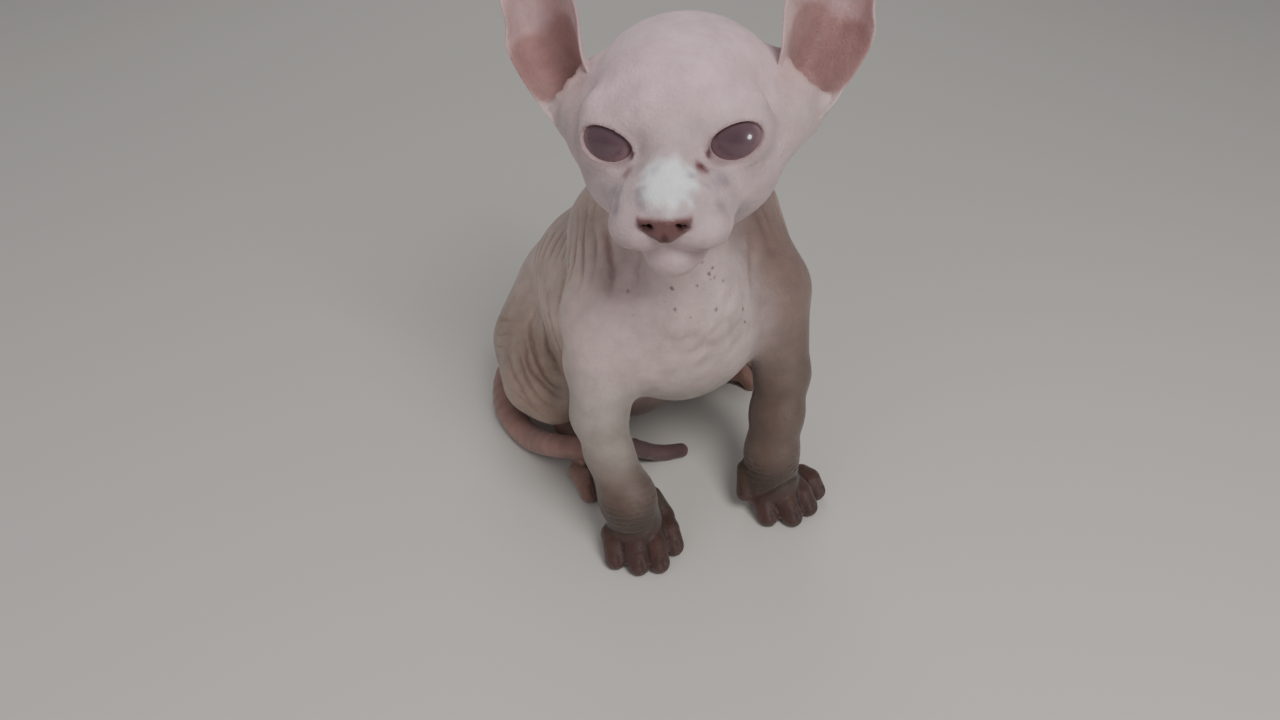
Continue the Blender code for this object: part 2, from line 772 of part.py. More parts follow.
def cut_features(skin, collection):
    """Cuts the eye openings, the nostrils, the groove below the nose and the line of the mouth."""
    cutters = [form_object("cutter", form, s, collection) for s in (-1, 1) for form in head_cuts()]
    groove = Limb((0, -25.2, -20.2), (0, -24.0, -23.4), 0.6, 0.5)
    cutters.append(form_object("cutter", groove, 1, collection))
    half = np.array(LIP_LINE)
    line = np.vstack((half[:0:-1] * (-1, 1, 1), half))
    line = HEAD.world(smooth_line(line, 25))
    ends = np.clip(np.minimum(np.arange(25), 24 - np.arange(25)) / 2, 0.4, 1)
    cutters.append(make_tube("cutter", line, LIP_GROOVE_RADIUS * ends, 6, collection))
    for cutter in cutters:
        combine(skin, cutter, "DIFFERENCE")
        bpy.data.objects.remove(cutter, do_unlink=True)
    largest_piece(skin)


def main():
    for obj in list(bpy.data.objects):
        bpy.data.objects.remove(obj, do_unlink=True)
    collection = bpy.data.collections.new("sphynx_kitten")
    bpy.context.scene.collection.children.link(collection)

    skin = make_skin(collection)
    cut_features(skin, collection)
    neighbour = grown_copy(skin, collection)
    loose = []
    for side in (-1, 1):
        ear = make_ear(side, collection)
        combine(ear, neighbour, "DIFFERENCE")
        largest_piece(ear)
        loose += [ear, make_eye(side, collection)]

    nodes = [take(skin, "head", [HEAD_BASE], collection)]
    for side, name in ((-1, "right"), (1, "left")):
        for part, planes in leg_regions(side).items():
            nodes.append(take(skin, part + "_" + name, planes, collection))
    nodes.append(take(skin, "neck", [NECK_BASE], collection))
    stub = take(skin, "stub", [TAIL_START, ((0, 78, 0), (0, -1, 0))], collection)
    bpy.data.objects.remove(stub, do_unlink=True)
    skin.name = "torso"
    largest_piece(skin)
    nodes.append(skin)

    bpy.data.objects.remove(neighbour, do_unlink=True)
    neighbour = grown_copy(skin, collection)
    tail = make_tail(collection)
    combine(tail, neighbour, "DIFFERENCE")
    bpy.data.objects.remove(neighbour, do_unlink=True)
    for name, stop, towards in TAIL_PARTS:
        plane = (TAIL_PATH[stop], np.subtract(TAIL_PATH[towards], TAIL_PATH[stop]))
        nodes.append(take(tail, name, [plane], collection))
    tail.name = "tail_tip"
    nodes.append(tail)
    for node in nodes + loose:
        points = points_of(node.data)
        points[points[:, 2] < 0.2, 2] = 0.0
        set_points(node.data, (points - MIDDLE) * MM)


main()
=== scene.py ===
"""The looks of the sitting sphynx kitten: one seamless skin with its folds, the eyes and the claws.

Sizes are in millimetres in the kitten's own frame, as in the part: it faces -Y, its left side is +X,
and the floor is z = 0. Meshes are written in metres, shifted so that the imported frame's origin fits.
"""

import json
from math import radians

import bmesh
import bpy
import numpy as np
from mathutils import Euler, Matrix, Vector
from mathutils.bvhtree import BVHTree
from mathutils.kdtree import KDTree

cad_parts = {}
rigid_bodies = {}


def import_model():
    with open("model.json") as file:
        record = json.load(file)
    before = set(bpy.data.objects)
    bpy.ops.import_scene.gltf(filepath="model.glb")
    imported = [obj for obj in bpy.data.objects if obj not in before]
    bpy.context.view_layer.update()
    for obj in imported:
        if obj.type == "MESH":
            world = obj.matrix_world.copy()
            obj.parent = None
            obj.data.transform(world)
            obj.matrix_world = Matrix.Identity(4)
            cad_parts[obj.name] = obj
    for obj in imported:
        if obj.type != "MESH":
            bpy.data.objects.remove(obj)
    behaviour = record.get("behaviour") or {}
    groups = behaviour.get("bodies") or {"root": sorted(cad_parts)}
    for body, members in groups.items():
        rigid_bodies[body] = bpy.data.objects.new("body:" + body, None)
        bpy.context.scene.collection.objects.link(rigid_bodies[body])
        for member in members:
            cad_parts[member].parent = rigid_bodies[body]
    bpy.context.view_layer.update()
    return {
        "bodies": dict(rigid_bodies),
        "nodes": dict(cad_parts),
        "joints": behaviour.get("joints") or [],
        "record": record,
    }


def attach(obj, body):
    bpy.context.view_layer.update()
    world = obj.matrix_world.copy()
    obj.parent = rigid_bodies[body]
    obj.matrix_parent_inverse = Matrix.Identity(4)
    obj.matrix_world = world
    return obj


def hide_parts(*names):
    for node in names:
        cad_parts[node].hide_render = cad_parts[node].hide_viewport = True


MM = 0.001

# Driving sizes, the same as the part's
EYE_RADIUS = 9.6
EYE_DEPTH = 1.8
EYE_SPACING = 33.0
LID_THICKNESS = 1.2
EAR_THICKNESS = 1.7
SKULL_HALF_WIDTH = 27.5
NECK_RADIUS = 19.0
CHEST_HALF_WIDTH = 33.0
WITHERS_HEIGHT = 126.0
FOREARM_RADIUS = 8.3
TOE_RADIUS = 4.0
TAIL_ROOT_RADIUS = 7.5
TAIL_TIP_RADIUS = 3.0
MIDDLE = np.array((10.24, 14.86, 0.0))

# How finely the skin is made
BLOCK_VOXEL = 1.5
SKIN_VOXEL = 1.0
FACE_REACH = 30.0
SKIN_TRIANGLES = 190000

# The camera stands in front of the kitten's right side and looks down on it
CAMERA_PLACE = np.array((-129.9, -267.9, 261.0))
CAMERA_PITCH = 35.0
CAMERA_TURN = -24.0
CAMERA_LENS = 26.72


def smooth_min(a, b, k):
    """The smaller distance, rounded where the two meet over a width of k."""
    h = np.maximum(k - np.abs(a - b), 0.0) / k
    return np.minimum(a, b) - h * h * k * 0.25


def smooth_step(low, high, value):
    t = np.clip((value - low) / (high - low), 0.0, 1.0)
    return t * t * (3 - 2 * t)


def lengths(vectors):
    return np.sqrt(np.einsum("ij,ij->i", vectors, vectors))


class Ball:
    """An ellipsoid with its half sizes, turned about X, Y and Z in degrees."""

    def __init__(self, centre, radii, turn=(0, 0, 0), blend=6.0):
        self.centre = np.array(centre, float)
        self.radii = np.array(radii, float)
        self.axes = np.array(Euler([radians(a) for a in turn]).to_matrix())
        self.blend = blend
        self.reach = max(radii)

    def distance(self, points):
        local = (points - self.centre) @ self.axes / self.radii
        near = lengths(local)
        slope = lengths(local / self.radii)
        return near * (near - 1.0) / np.maximum(slope, 1e-9)

    def add_to(self, bm, matrix):
        place = Matrix.Translation(self.centre) @ Matrix(self.axes.tolist()).to_4x4()
        stretch = Matrix.Diagonal((*self.radii, 1.0))
        bmesh.ops.create_uvsphere(
            bm, u_segments=28, v_segments=18, radius=1.0, matrix=matrix @ place @ stretch
        )


class Limb:
    """A tapered capsule from one rounded end to the other."""

    def __init__(self, start, end, start_radius, end_radius, blend=6.0):
        self.start = np.array(start, float)
        self.end = np.array(end, float)
        self.radii = (float(start_radius), float(end_radius))
        self.blend = blend
        self.centre = (self.start + self.end) / 2
        self.reach = np.linalg.norm(self.end - self.start) / 2 + max(self.radii)

    def distance(self, points):
        r1, r2 = self.radii
        along = self.end - self.start
        length2 = along @ along
        taper = r1 - r2
        slant = length2 - taper * taper
        local = points - self.start
        y = local @ along
        z = y - length2
        side = local * length2 - y[:, None] * along
        x2 = np.einsum("ij,ij->i", side, side)
        y2 = y * y * length2
        z2 = z * z * length2
        turn = np.sign(taper) * taper * taper * x2
        middle = (np.sqrt(x2 * slant / length2) + y * taper) / length2 - r1
        past_end = np.sqrt(x2 + z2) / length2 - r2
        before_start = np.sqrt(x2 + y2) / length2 - r1
        at_start = np.sign(y) * slant * y2 < turn
        return np.where(
            np.sign(z) * slant * z2 > turn, past_end, np.where(at_start, before_start, middle)
        )

    def add_to(self, bm, matrix):
        capsule = bmesh.new()
        for end, radius in ((self.start, self.radii[0]), (self.end, self.radii[1])):
            bmesh.ops.create_icosphere(
                capsule, subdivisions=3, radius=radius, matrix=matrix @ Matrix.Translation(end)
            )
        bmesh.ops.delete(capsule, geom=capsule.faces[:] + capsule.edges[:], context="EDGES_FACES")
        hull = bmesh.ops.convex_hull(capsule, input=capsule.verts[:])
        bmesh.ops.delete(capsule, geom=hull["geom_interior"], context="VERTS")
        mesh = bpy.data.meshes.new("capsule")
        capsule.to_mesh(mesh)
        capsule.free()
        bm.from_mesh(mesh)
        bpy.data.meshes.remove(mesh)


class Frame:
    """A local frame: where it sits, and how it is turned from +X left, -Y forward, +Z up."""

    def __init__(self, origin=(0, 0, 0), yaw=0.0, pitch=0.0, roll=0.0):
        turn = (
            Matrix.Rotation(radians(yaw), 4, "Z")
            @ Matrix.Rotation(radians(pitch), 4, "X")
            @ Matrix.Rotation(radians(roll), 4, "Y")
        )
        self.matrix = Matrix.Translation(origin) @ turn
        self.axes = np.array(self.matrix.to_3x3())
        self.origin = np.array(origin, float)

    def local(self, points):
        return (points - self.origin) @ self.axes

    def world(self, points):
        return np.asarray(points, float) @ self.axes.T + self.origin


class Group:
    """Forms in one frame. A mirrored group's forms also stand on the other side of x = 0."""

    def __init__(self, frame, forms, mirrored=False):
        self.frame = frame
        self.forms = forms
        self.mirrored = mirrored

    def blend_into(self, far, points):
        local = self.frame.local(points)
        if self.mirrored:
            local[:, 0] = np.abs(local[:, 0])
        for form in self.forms:
            offset = local - form.centre
            reach = form.reach + form.blend + 8
            near = np.flatnonzero(np.einsum("ij,ij->i", offset, offset) < reach * reach)
            if len(near):
                far[near] = smooth_min(far[near], form.distance(local[near]), form.blend)
        return far

    def add_to(self, bm):
        sides = [Matrix.Identity(4)]
        if self.mirrored:
            sides.append(Matrix.Diagonal((-1, 1, 1, 1)))
        for side in sides:
            for form in self.forms:
                form.add_to(bm, self.frame.matrix @ side)


WORLD = Frame()
HEAD = Frame(origin=(-22.2, -48.2, 164.0), yaw=-34, pitch=-7, roll=-5)


def nose_forms():
    """The nose leather: a bar across its top, and two sides that meet in a point below."""
    return [
        Limb((0, -21.9, -17.0), (5.2, -21.0, -16.8), 2.7, 2.2, blend=1.2),
        Limb((5.0, -21.1, -17.2), (0.7, -21.9, -20.6), 2.2, 2.2, blend=1.2),
    ]


def head_forms():
    """The skull, face and jaw, from the middle of the line between the eyes. Forward is -Y."""
    w = SKULL_HALF_WIDTH
    eye = EYE_SPACING / 2
    return [
        Ball((0, 25, 5), (w, 29, 23), blend=1),
        Ball((0, 6, 8), (19, 15, 14.5), blend=9),
        Limb((11, 1, -10), (23, 14, -5.5), 8.0, 9.2, blend=7),
        Ball((14.5, 13, -16), (9.5, 14, 10), blend=8),
        Limb((0, -3, 0), (0, -18.5, -12.5), 7.2, 5.3, blend=6),
        Ball((0, -9.5, -16), (12.5, 13, 9.5), blend=6),
        Limb((8.5, -8, -15), (17, 8, -13.5), 7.2, 8.2, blend=8),
        Ball((7.9, -13.6, -20.6), (8.8, 8.8, 6.8), turn=(0, 0, -12), blend=4),
        Ball((0, -9.5, -30), (7.8, 8.5, 6.6), blend=2.6),
        Limb((5, -4, -25.5), (12.5, 20, -20.5), 4.6, 7.6, blend=8),
        Limb((0, 2, -24), (0, 32, -20), 8, 15, blend=9),
        Limb((28, 27, 0), (31.5, 31, 7), 11.2, 8.5, blend=10),
        Limb((35.2, 26, -3), (39.4, 26.5, 1.9), 3.2, 3.0, blend=3),
        Ball((29.8, 23.8, 13.2), (2.0, 1.7, 2.0), blend=1.5),
        Ball((33.4, 22.4, 9.8), (2.1, 1.7, 2.1), blend=1.5),
        Ball((37.0, 23.6, 6.4), (2.0, 1.7, 2.0), blend=1.5),
        Ball((eye, EYE_DEPTH, -0.3), [EYE_RADIUS + LID_THICKNESS] * 3, blend=3),
        Limb((9.5, -3.0, 6.0), (20, 1.0, 8.0), 2.6, 2.2, blend=7),
    ] + nose_forms()


def eye_opening():
    """The almond opening between the lids, as one ball that is turned up at its outer corner."""
    return Ball((EYE_SPACING / 2 + 1.9, -11.4, -0.7), (8.6, 12.0, 5.2), turn=(0, -21, 14))


def eye_corner():
    """The narrow inner corner of the eye opening."""
    return Ball((EYE_SPACING / 2 - 4.1, -9.2, -2.6), (2.6, 3.6, 1.2), turn=(0, -22, 14))


def ear_bowl():
    """What the bowl of each ear takes out of the mound that carries it, and the pit at its bottom."""
    return [
        Ball((40, 30, 16), (13, 12, 11.5), turn=(0, 45, 0)),
        Ball((37, 28.5, 9.5), (5.0, 4.6, 6.5)),
    ]


# The line between the lips, from the middle out to the corner of the mouth
LIP_LINE = [
    (0.0, -23.9, -23.3),
    (4.0, -22.6, -25.2),
    (9.0, -19.2, -26.2),
    (13.0, -13.2, -25.4),
    (15.8, -6.5, -22.8),
]

# The tail's middle line: off the rump, round the right haunch on the floor, over the right hind paw
TAIL_PATH = [
    (0, 84, 30),
    (-5, 94, 19),
    (-15, 98, 10),
    (-29, 91, 6),
    (-41.5, 77, 4.6),
    (-48, 60, 4.2),
    (-49, 47, 4.2),
    (-47.3, 35, 5.3),
    (-44.5, 24, 8.6),
    (-41, 13.5, 13.6),
    (-35, 5, 17.0),
    (-26.5, 0.5, 17.0),
    (-18, 0.8, 15.8),
    (-9.5, 2.2, 9.6),
    (-1, 3, 4.2),
    (9, 2, 2.4),
]


def trunk_forms():
    """Neck, chest, belly and hips."""
    c = CHEST_HALF_WIDTH
    n = NECK_RADIUS
    w = WITHERS_HEIGHT
    return [
        Ball((-1, 4, 94), (c, 36, 35), turn=(18, 0, 0), blend=1),
        Ball((-5, -26, 87.5), (29, 19.5, 30.5), blend=12),
        Limb((0, 2, w - 8), (-7, -20, 146), n + 4, n + 1, blend=10),
        Limb((-8, -36, 104), (-12, -36, 136), 14, 10, blend=12),
        Limb((0, 4, w - 10), (0, 52, 78), 12, 13, blend=10),
        Ball((0, 40, 72), (36.5, 34, 29.5), blend=10),
        Ball((-2, 24, 63), (35, 34, 34), blend=10),
        Ball((-7, 19, 42), (21, 20, 23.5), blend=9),
        Ball((0, 63, 38), (36, 27, 38.3), blend=12),
        Ball((0, 65, 49), (38, 26, 31), blend=12),
        Limb((0, 76, 34), TAIL_PATH[1], 10, TAIL_ROOT_RADIUS, blend=8),
    ]


# The forearm's places from above down to the ankle, as x, y, z and how much thicker than the forearm
RIGHT_FOREARM = [
    (-38.8, -29, 60, 1.0),
    (-37, -32.5, 45, -0.4),
    (-32.2, -37.3, 26, 1.3),
    (-29.8, -37.5, 14, 1.6),
]
LEFT_FOREARM = [
    (32.3, -31.5, 58, 1.3),
    (29.4, -35, 43, 1.2),
    (27.2, -37.5, 27, 1.3),
    (27.6, -38.3, 14, 2.0),
]


def foreleg_forms(shoulder, elbow, places):
    """A shoulder, the elbow behind it, and the forearm down to the ankle just above the paw."""
    r = FOREARM_RADIUS
    forms = [
        Limb(shoulder, places[0][:3], r + 5.2, r + places[0][3], blend=10),
        Ball(elbow, (r + 0.4, r + 1.2, r + 1.5), blend=9),
    ]
    for above, below in zip(places, places[1:]):
        forms.append(Limb(above[:3], below[:3], r + above[3], r + below[3], blend=4))
    return forms


def hind_leg_forms(side, heel, ball_of_foot):
    """A folded hind leg: thigh forward to the knee, shank back to the hock, and the long foot."""
    s = side
    hx, hy = heel
    bx, by = ball_of_foot
    middle = (s * (hx + bx) / 2, (hy + by) / 2, 6.6)
    return [
        Limb((s * 31.5, 57, 36), (s * 41, 30.5, 35.5), 20, 15, blend=10),
        Limb((s * 37, 23, 28.5), (s * (hx + 1), hy - 5, 15), 9.5, 7.5, blend=6),
        Limb((s * hx, hy, 8.0), middle, 7.2, 6.0, blend=5),
        Limb(middle, (s * bx, by, 6.2), 6.0, 6.2, blend=4),
    ]


# Toes as (knuckle x, y), (tip x, y), from the kitten's outer toe to its inner one
RIGHT_PAW_TOES = [
    ((-38.0, -36.5), (-39.6, -43.5)),
    ((-31.8, -39.0), (-33.2, -49.6)),
    ((-25.0, -39.5), (-26.0, -51.6)),
    ((-18.0, -36.5), (-17.6, -46.0)),
]
LEFT_PAW_TOES = [
    ((42.5, -37.0), (46.5, -42.0)),
    ((36.0, -40.0), (38.8, -48.5)),
    ((28.5, -41.0), (30.4, -51.0)),
    ((21.4, -39.0), (22.0, -47.0)),
]
RIGHT_HIND_TOES = [
    ((-36.0, 3.0), (-35.4, -7.0)),
    ((-30.6, 0.5), (-30.0, -11.5)),
    ((-24.4, 0.5), (-23.4, -11.5)),
    ((-19.0, 3.5), (-17.6, -6.5)),
]
LEFT_HIND_TOES = [
    ((66.0, 47.5), (72.5, 41.0)),
    ((63.5, 42.0), (71.0, 34.5)),
    ((59.0, 39.0), (66.0, 31.0)),
    ((53.0, 38.5), (59.0, 31.5)),
]


def toe_forms(toes, knuckle_height=9.0, radius=TOE_RADIUS):
    """Each toe arches from its knuckle down to a rounded tip on the floor."""
    forms = []
    for (kx, ky), (tx, ty) in toes:
        knuckle = np.array((kx, ky, knuckle_height))
        tip = np.array((tx, ty, radius - 0.6))
        bend = knuckle * 0.45 + tip * 0.55 + np.array((0, 0, 2.4))
        forms.append(Limb(knuckle, bend, radius + 0.3, radius + 0.1, blend=1.0))
        forms.append(Limb(bend, tip, radius + 0.1, radius, blend=0.6))
    return forms


def paw_forms(centre, radii, toes, turn=0, knuckle_height=9.0):
    palm = Ball(centre, radii, turn=(0, 0, turn), blend=3)
    return [palm] + toe_forms(toes, knuckle_height)


def tail_forms():
    """The tail as a chain of short limbs, lifted where it has to be so that it rests on the floor."""
    count = 30
    path = smooth_line(TAIL_PATH[1:], count)
    share = np.linspace(0, 1, count)
    radii = TAIL_ROOT_RADIUS + (TAIL_TIP_RADIUS - TAIL_ROOT_RADIUS) * share**1.1
    path[:, 2] = np.maximum(path[:, 2], radii - 0.15)
    return [
        Limb(path[i], path[i + 1], radii[i], radii[i + 1], blend=0.5) for i in range(count - 1)
    ]


def body_groups():
    """Every form of the skin but for the ears."""
    right_foreleg = foreleg_forms((-32, -20, 90), (-36, -13, 71), RIGHT_FOREARM)
    left_foreleg = foreleg_forms((30, -23, 87), (32, -14, 69), LEFT_FOREARM)
    shoulders = [
        Limb((-20, 4, 112), (-30, -18, 94), 13, 14, blend=10),
        Limb((24, -5, 114), (27, -20, 94), 14.5, 13.5, blend=10),
    ]
    paws = paw_forms((-28.2, -37.5, 6.8), (13, 10, 7.6), RIGHT_PAW_TOES)
    paws += paw_forms((31, -38.5, 6.8), (13.5, 10, 7.6), LEFT_PAW_TOES)
    paws.append(Limb((-20.5, -33, 18), (-16.6, -36.5, 10.5), 3.8, 3.2, blend=2))
    paws.append(Limb((19, -34, 18), (16, -38.5, 10.5), 3.8, 3.1, blend=2))
    legs = shoulders + right_foreleg + left_foreleg
    legs += hind_leg_forms(-1, heel=(29, 60), ball_of_foot=(28, 8))
    legs += hind_leg_forms(1, heel=(29, 68), ball_of_foot=(54.5, 47))
    paws += paw_forms((-27.5, 5, 5.8), (10.5, 9, 6.0), RIGHT_HIND_TOES, knuckle_height=6.3)
    paws += paw_forms((58, 44.5, 5.8), (10.5, 9, 6.0), LEFT_HIND_TOES, turn=40, knuckle_height=6.3)
    return [
        Group(WORLD, trunk_forms()),
        Group(HEAD, head_forms(), mirrored=True),
        Group(WORLD, legs),
        Group(WORLD, paws),
        Group(WORLD, tail_forms()),
    ]


def drawn_onto(points, distance, rounds=2, longest=2.5):
    """Moves each point along the slope of the distance until it lies on the blended surface."""
    step = 0.05
    corners = np.array(((1, -1, -1), (-1, -1, 1), (-1, 1, -1), (1, 1, 1)), float)
    for _ in range(rounds):
        values = [distance(points + corner * step) for corner in corners]
        slope = sum(c * v[:, None] for c, v in zip(corners, values)) / (4 * step)
        steep = np.maximum(lengths(slope), 0.2)
        move = np.clip(sum(values) / 4 / steep, -longest, longest) / steep
        points = points - slope * move[:, None]
    return points


def points_of(mesh):
    flat = np.empty(len(mesh.vertices) * 3, np.float32)
    mesh.vertices.foreach_get("co", flat)
    return flat.reshape(-1, 3).astype(float)


def set_points(mesh, points):
    mesh.vertices.foreach_set("co", np.asarray(points, np.float32).ravel())
    mesh.update()


def normals_of(mesh):
    flat = np.empty(len(mesh.vertices) * 3, np.float32)
    mesh.vertex_normals.foreach_get("vector", flat)
    return flat.reshape(-1, 3).astype(float)


def edge_ends(mesh):
    ends = np.empty(len(mesh.edges) * 2, np.int32)
    mesh.edges.foreach_get("vertices", ends)
    return ends.reshape(-1, 2).T


def relaxed(mesh, points, weight, rounds):
    """Slides each point towards its neighbours' middle by its weight, from 0 to 1."""
    a, b = edge_ends(mesh)
    count = np.maximum(np.bincount(np.concatenate((a, b)), minlength=len(points)), 1)[:, None]
    weight = np.asarray(weight)[:, None]
    for _ in range(rounds):
        total = np.zeros_like(points)
        for k in range(3):
            total[:, k] = np.bincount(a, points[b, k], len(points))
            total[:, k] += np.bincount(b, points[a, k], len(points))
        points = points + (total / count - points) * weight
    return points


def untangled(mesh, rounds=6):
    """Relaxes the points around faces that cut through each other, until none do."""
    for _ in range(rounds):
        bm = bmesh.new()
        bm.from_mesh(mesh)
        bmesh.ops.triangulate(bm, faces=bm.faces[:])
        bm.faces.ensure_lookup_table()
        tree = BVHTree.FromBMesh(bm)
        crossed = np.zeros(len(mesh.vertices))
        for i, j in tree.overlap(tree):
            first = {v.index for v in bm.faces[i].verts}
            second = {v.index for v in bm.faces[j].verts}
            if i < j and not first & second:
                crossed[list(first | second)] = 1.0
        bm.free()
        if not crossed.any():
            return
        a, b = edge_ends(mesh)
        for _ in range(3):
            spread = crossed.copy()
            np.maximum.at(spread, a, crossed[b] * 0.8)
            np.maximum.at(spread, b, crossed[a] * 0.8)
            crossed = spread
        set_points(mesh, relaxed(mesh, points_of(mesh), crossed * 0.5, 3))


def new_object(name, mesh):
    obj = bpy.data.objects.new(name, mesh)
    bpy.context.scene.collection.objects.link(obj)
    return obj


def applied(obj):
    """The object with its modifiers applied to its mesh."""
    graph = bpy.context.evaluated_depsgraph_get()
    mesh = bpy.data.meshes.new_from_object(obj.evaluated_get(graph))
    obj.modifiers.clear()
    old = obj.data
    obj.data = mesh
    bpy.data.meshes.remove(old)
    return obj


def fuse(obj, voxel):
    """Rebuilds the object as one even surface, with what lies inside it gone."""
    remesh = obj.modifiers.new("Fuse", "REMESH")
    remesh.mode = "VOXEL"
    remesh.voxel_size = voxel
    remesh.adaptivity = 0.0
    return applied(obj)


def combine(obj, others, operation):
    """A Boolean with each of the other objects, which are then removed."""
    for other in others:
        boolean = obj.modifiers.new(operation.title(), "BOOLEAN")
        boolean.operation = operation
        boolean.solver = "EXACT"
        boolean.object = other
    applied(obj)
    for other in others:
        bpy.data.objects.remove(other, do_unlink=True)
    return obj


def largest_piece(obj):
    """Keeps only the piece with the most vertices."""
    a, b = edge_ends(obj.data)
    label = np.arange(len(obj.data.vertices))
    while True:
        lowest = label.copy()
        np.minimum.at(lowest, a, label[b])
        np.minimum.at(lowest, b, label[a])
        lowest = lowest[lowest]
        if (lowest == label).all():
            break
        label = lowest
    keep = label == np.bincount(label).argmax()
    if not keep.all():
        bm = bmesh.new()
        bm.from_mesh(obj.data)
        bm.verts.ensure_lookup_table()
        stray = [bm.verts[i] for i in np.flatnonzero(~keep)]
        bmesh.ops.delete(bm, geom=stray, context="VERTS")
        bm.to_mesh(obj.data)
        bm.free()


def smooth_line(stops, samples):
    """Points evenly spread along a smooth line through the stops (Catmull-Rom)."""
    stops = np.array(stops, float)
    ends = np.vstack((2 * stops[0] - stops[1], stops, 2 * stops[-1] - stops[-2]))
    dense = []
    for i in range(1, len(ends) - 2):
        a, b, c, d = ends[i - 1 : i + 3]
        for t in np.linspace(0, 1, 24, endpoint=False):
            dense.append(
                b + (c - a) * t / 2 + (2 * a - 5 * b + 4 * c - d) * t**2 / 2
                + (3 * b - a - 3 * c + d) * t**3 / 2
            )
    dense = np.array(dense + [stops[-1]])
    run = np.concatenate(([0], np.cumsum(np.linalg.norm(np.diff(dense, axis=0), axis=1))))
    at = np.linspace(0, run[-1], samples)
    return np.stack([np.interp(at, run, dense[:, k]) for k in range(dense.shape[1])], axis=1)


UNDER_EYE = [(6.8, -13.0, -6.6), (10, -11.9, -9.4), (15, -9.6, -10.2), (21, -5.4, -8.4), (25, -1, -4.6)]
BROW_CREASE = [(9.0, -9.5, 7.6), (14, -8.8, 10.2), (20, -6.4, 10.4), (25, -2.2, 7.4)]

# The ear's outline in the head's frame, from inside the head to the tip
EAR_MEDIAL_EDGE = [(25, 22, 8), (28, 18.6, 17.5), (29, 20.5, 31), (34.5, 25.5, 46), (45, 30, 58)]
EAR_BACK = [(30, 35, 0), (36.5, 39.5, 13), (43.5, 40.5, 28), (48, 38, 43), (50, 33, 60)]
EAR_OUTER_EDGE = [
    (37.5, 22, -4),
    (45.5, 23.5, 5.5),
    (51, 26.5, 13.5),
    (53.5, 27.5, 19),
    (52.5, 28.5, 26),
    (54, 29.5, 34),
    (54.5, 31, 46),
    (52, 31.5, 57.5),
]


def make_ear(side):
    """A thin cupped sheet with rounded rims, thickest down the middle of its back."""
    rows, columns = 26, 17
    medial, back, outer = (
        smooth_line(line, rows) for line in (EAR_MEDIAL_EDGE, EAR_BACK, EAR_OUTER_EDGE)
    )
    across = np.linspace(-1, 1, columns)
    bm = bmesh.new()
    grid = []
    for r in range(rows):
        row = []
        for u in across:
            point = medial[r] * u * (u - 1) / 2 + back[r] * (1 - u * u) + outer[r] * u * (u + 1) / 2
            point = point * np.array((side, 1, 1))
            row.append(bm.verts.new(HEAD.world(point[None])[0]))
        grid.append(row)
    for r in range(rows - 1):
        for c in range(columns - 1):
            corners = [grid[r][c], grid[r][c + 1], grid[r + 1][c + 1], grid[r + 1][c]]
            bm.faces.new(corners if side > 0 else corners[::-1])
    mesh = bpy.data.meshes.new("ear")
    bm.to_mesh(mesh)
    bm.free()
    ear = new_object("ear", mesh)
    thickness = ear.vertex_groups.new(name="thickness")
    for r in range(rows):
        for c, u in enumerate(across):
            rim = (1 - u * u) ** 0.5 * min(1.0, (rows - 1 - r) / 3)
            thickness.add([r * columns + c], 0.62 + 0.38 * rim, "REPLACE")
    thicken = ear.modifiers.new("Thickness", "SOLIDIFY")
    thicken.thickness = EAR_THICKNESS
    thicken.offset = 0.0
    thicken.vertex_group = thickness.name
    finer = ear.modifiers.new("Rounded rims", "SUBSURF")
    finer.levels = 1
    finer.render_levels = 1
    return applied(ear)


def form_object(name, form, side):
    """One form of the head as an object of its own, on the side asked for."""
    bm = bmesh.new()
    form.add_to(bm, HEAD.matrix @ Matrix.Diagonal((side, 1, 1, 1)))
    bmesh.ops.recalc_face_normals(bm, faces=bm.faces[:])
    mesh = bpy.data.meshes.new(name)
    bm.to_mesh(mesh)
    bm.free()
    return new_object(name, mesh)


def finer_where(obj, wanted, longest=0.0):
    """Halves the edges that are longer than the longest wanted, where both their ends are wanted."""
    bm = bmesh.new()
    bm.from_mesh(obj.data)
    edges = [
        e for e in bm.edges
        if wanted[e.verts[0].index] and wanted[e.verts[1].index] and e.calc_length() > longest
    ]
    bmesh.ops.subdivide_edges(bm, edges=edges, cuts=1, use_grid_fill=True)
    bm.to_mesh(obj.data)
    bm.free()


def wobble(points, size, seed):
    """A smooth, irregular value from -1 to 1 that changes over the given size."""
    rng = np.random.default_rng(seed)
    total = np.zeros(len(points))
    for _ in range(5):
        direction = rng.normal(size=3)
        direction *= rng.uniform(0.6, 1.5) / np.linalg.norm(direction)
        total += np.sin(points @ direction * (2 * np.pi / size) + rng.uniform(0, 6.3))
    return np.clip(total / 2.6, -1, 1)


def patch(points, centre, radii, turn=(0, 0, 0)):
    """1 at the centre of a ball and 0 at its surface, with a smooth fall."""
    ball = Ball(centre, radii, turn)
    local = (points - ball.centre) @ ball.axes / ball.radii
    return smooth_step(0, 1, 1 - lengths(local))


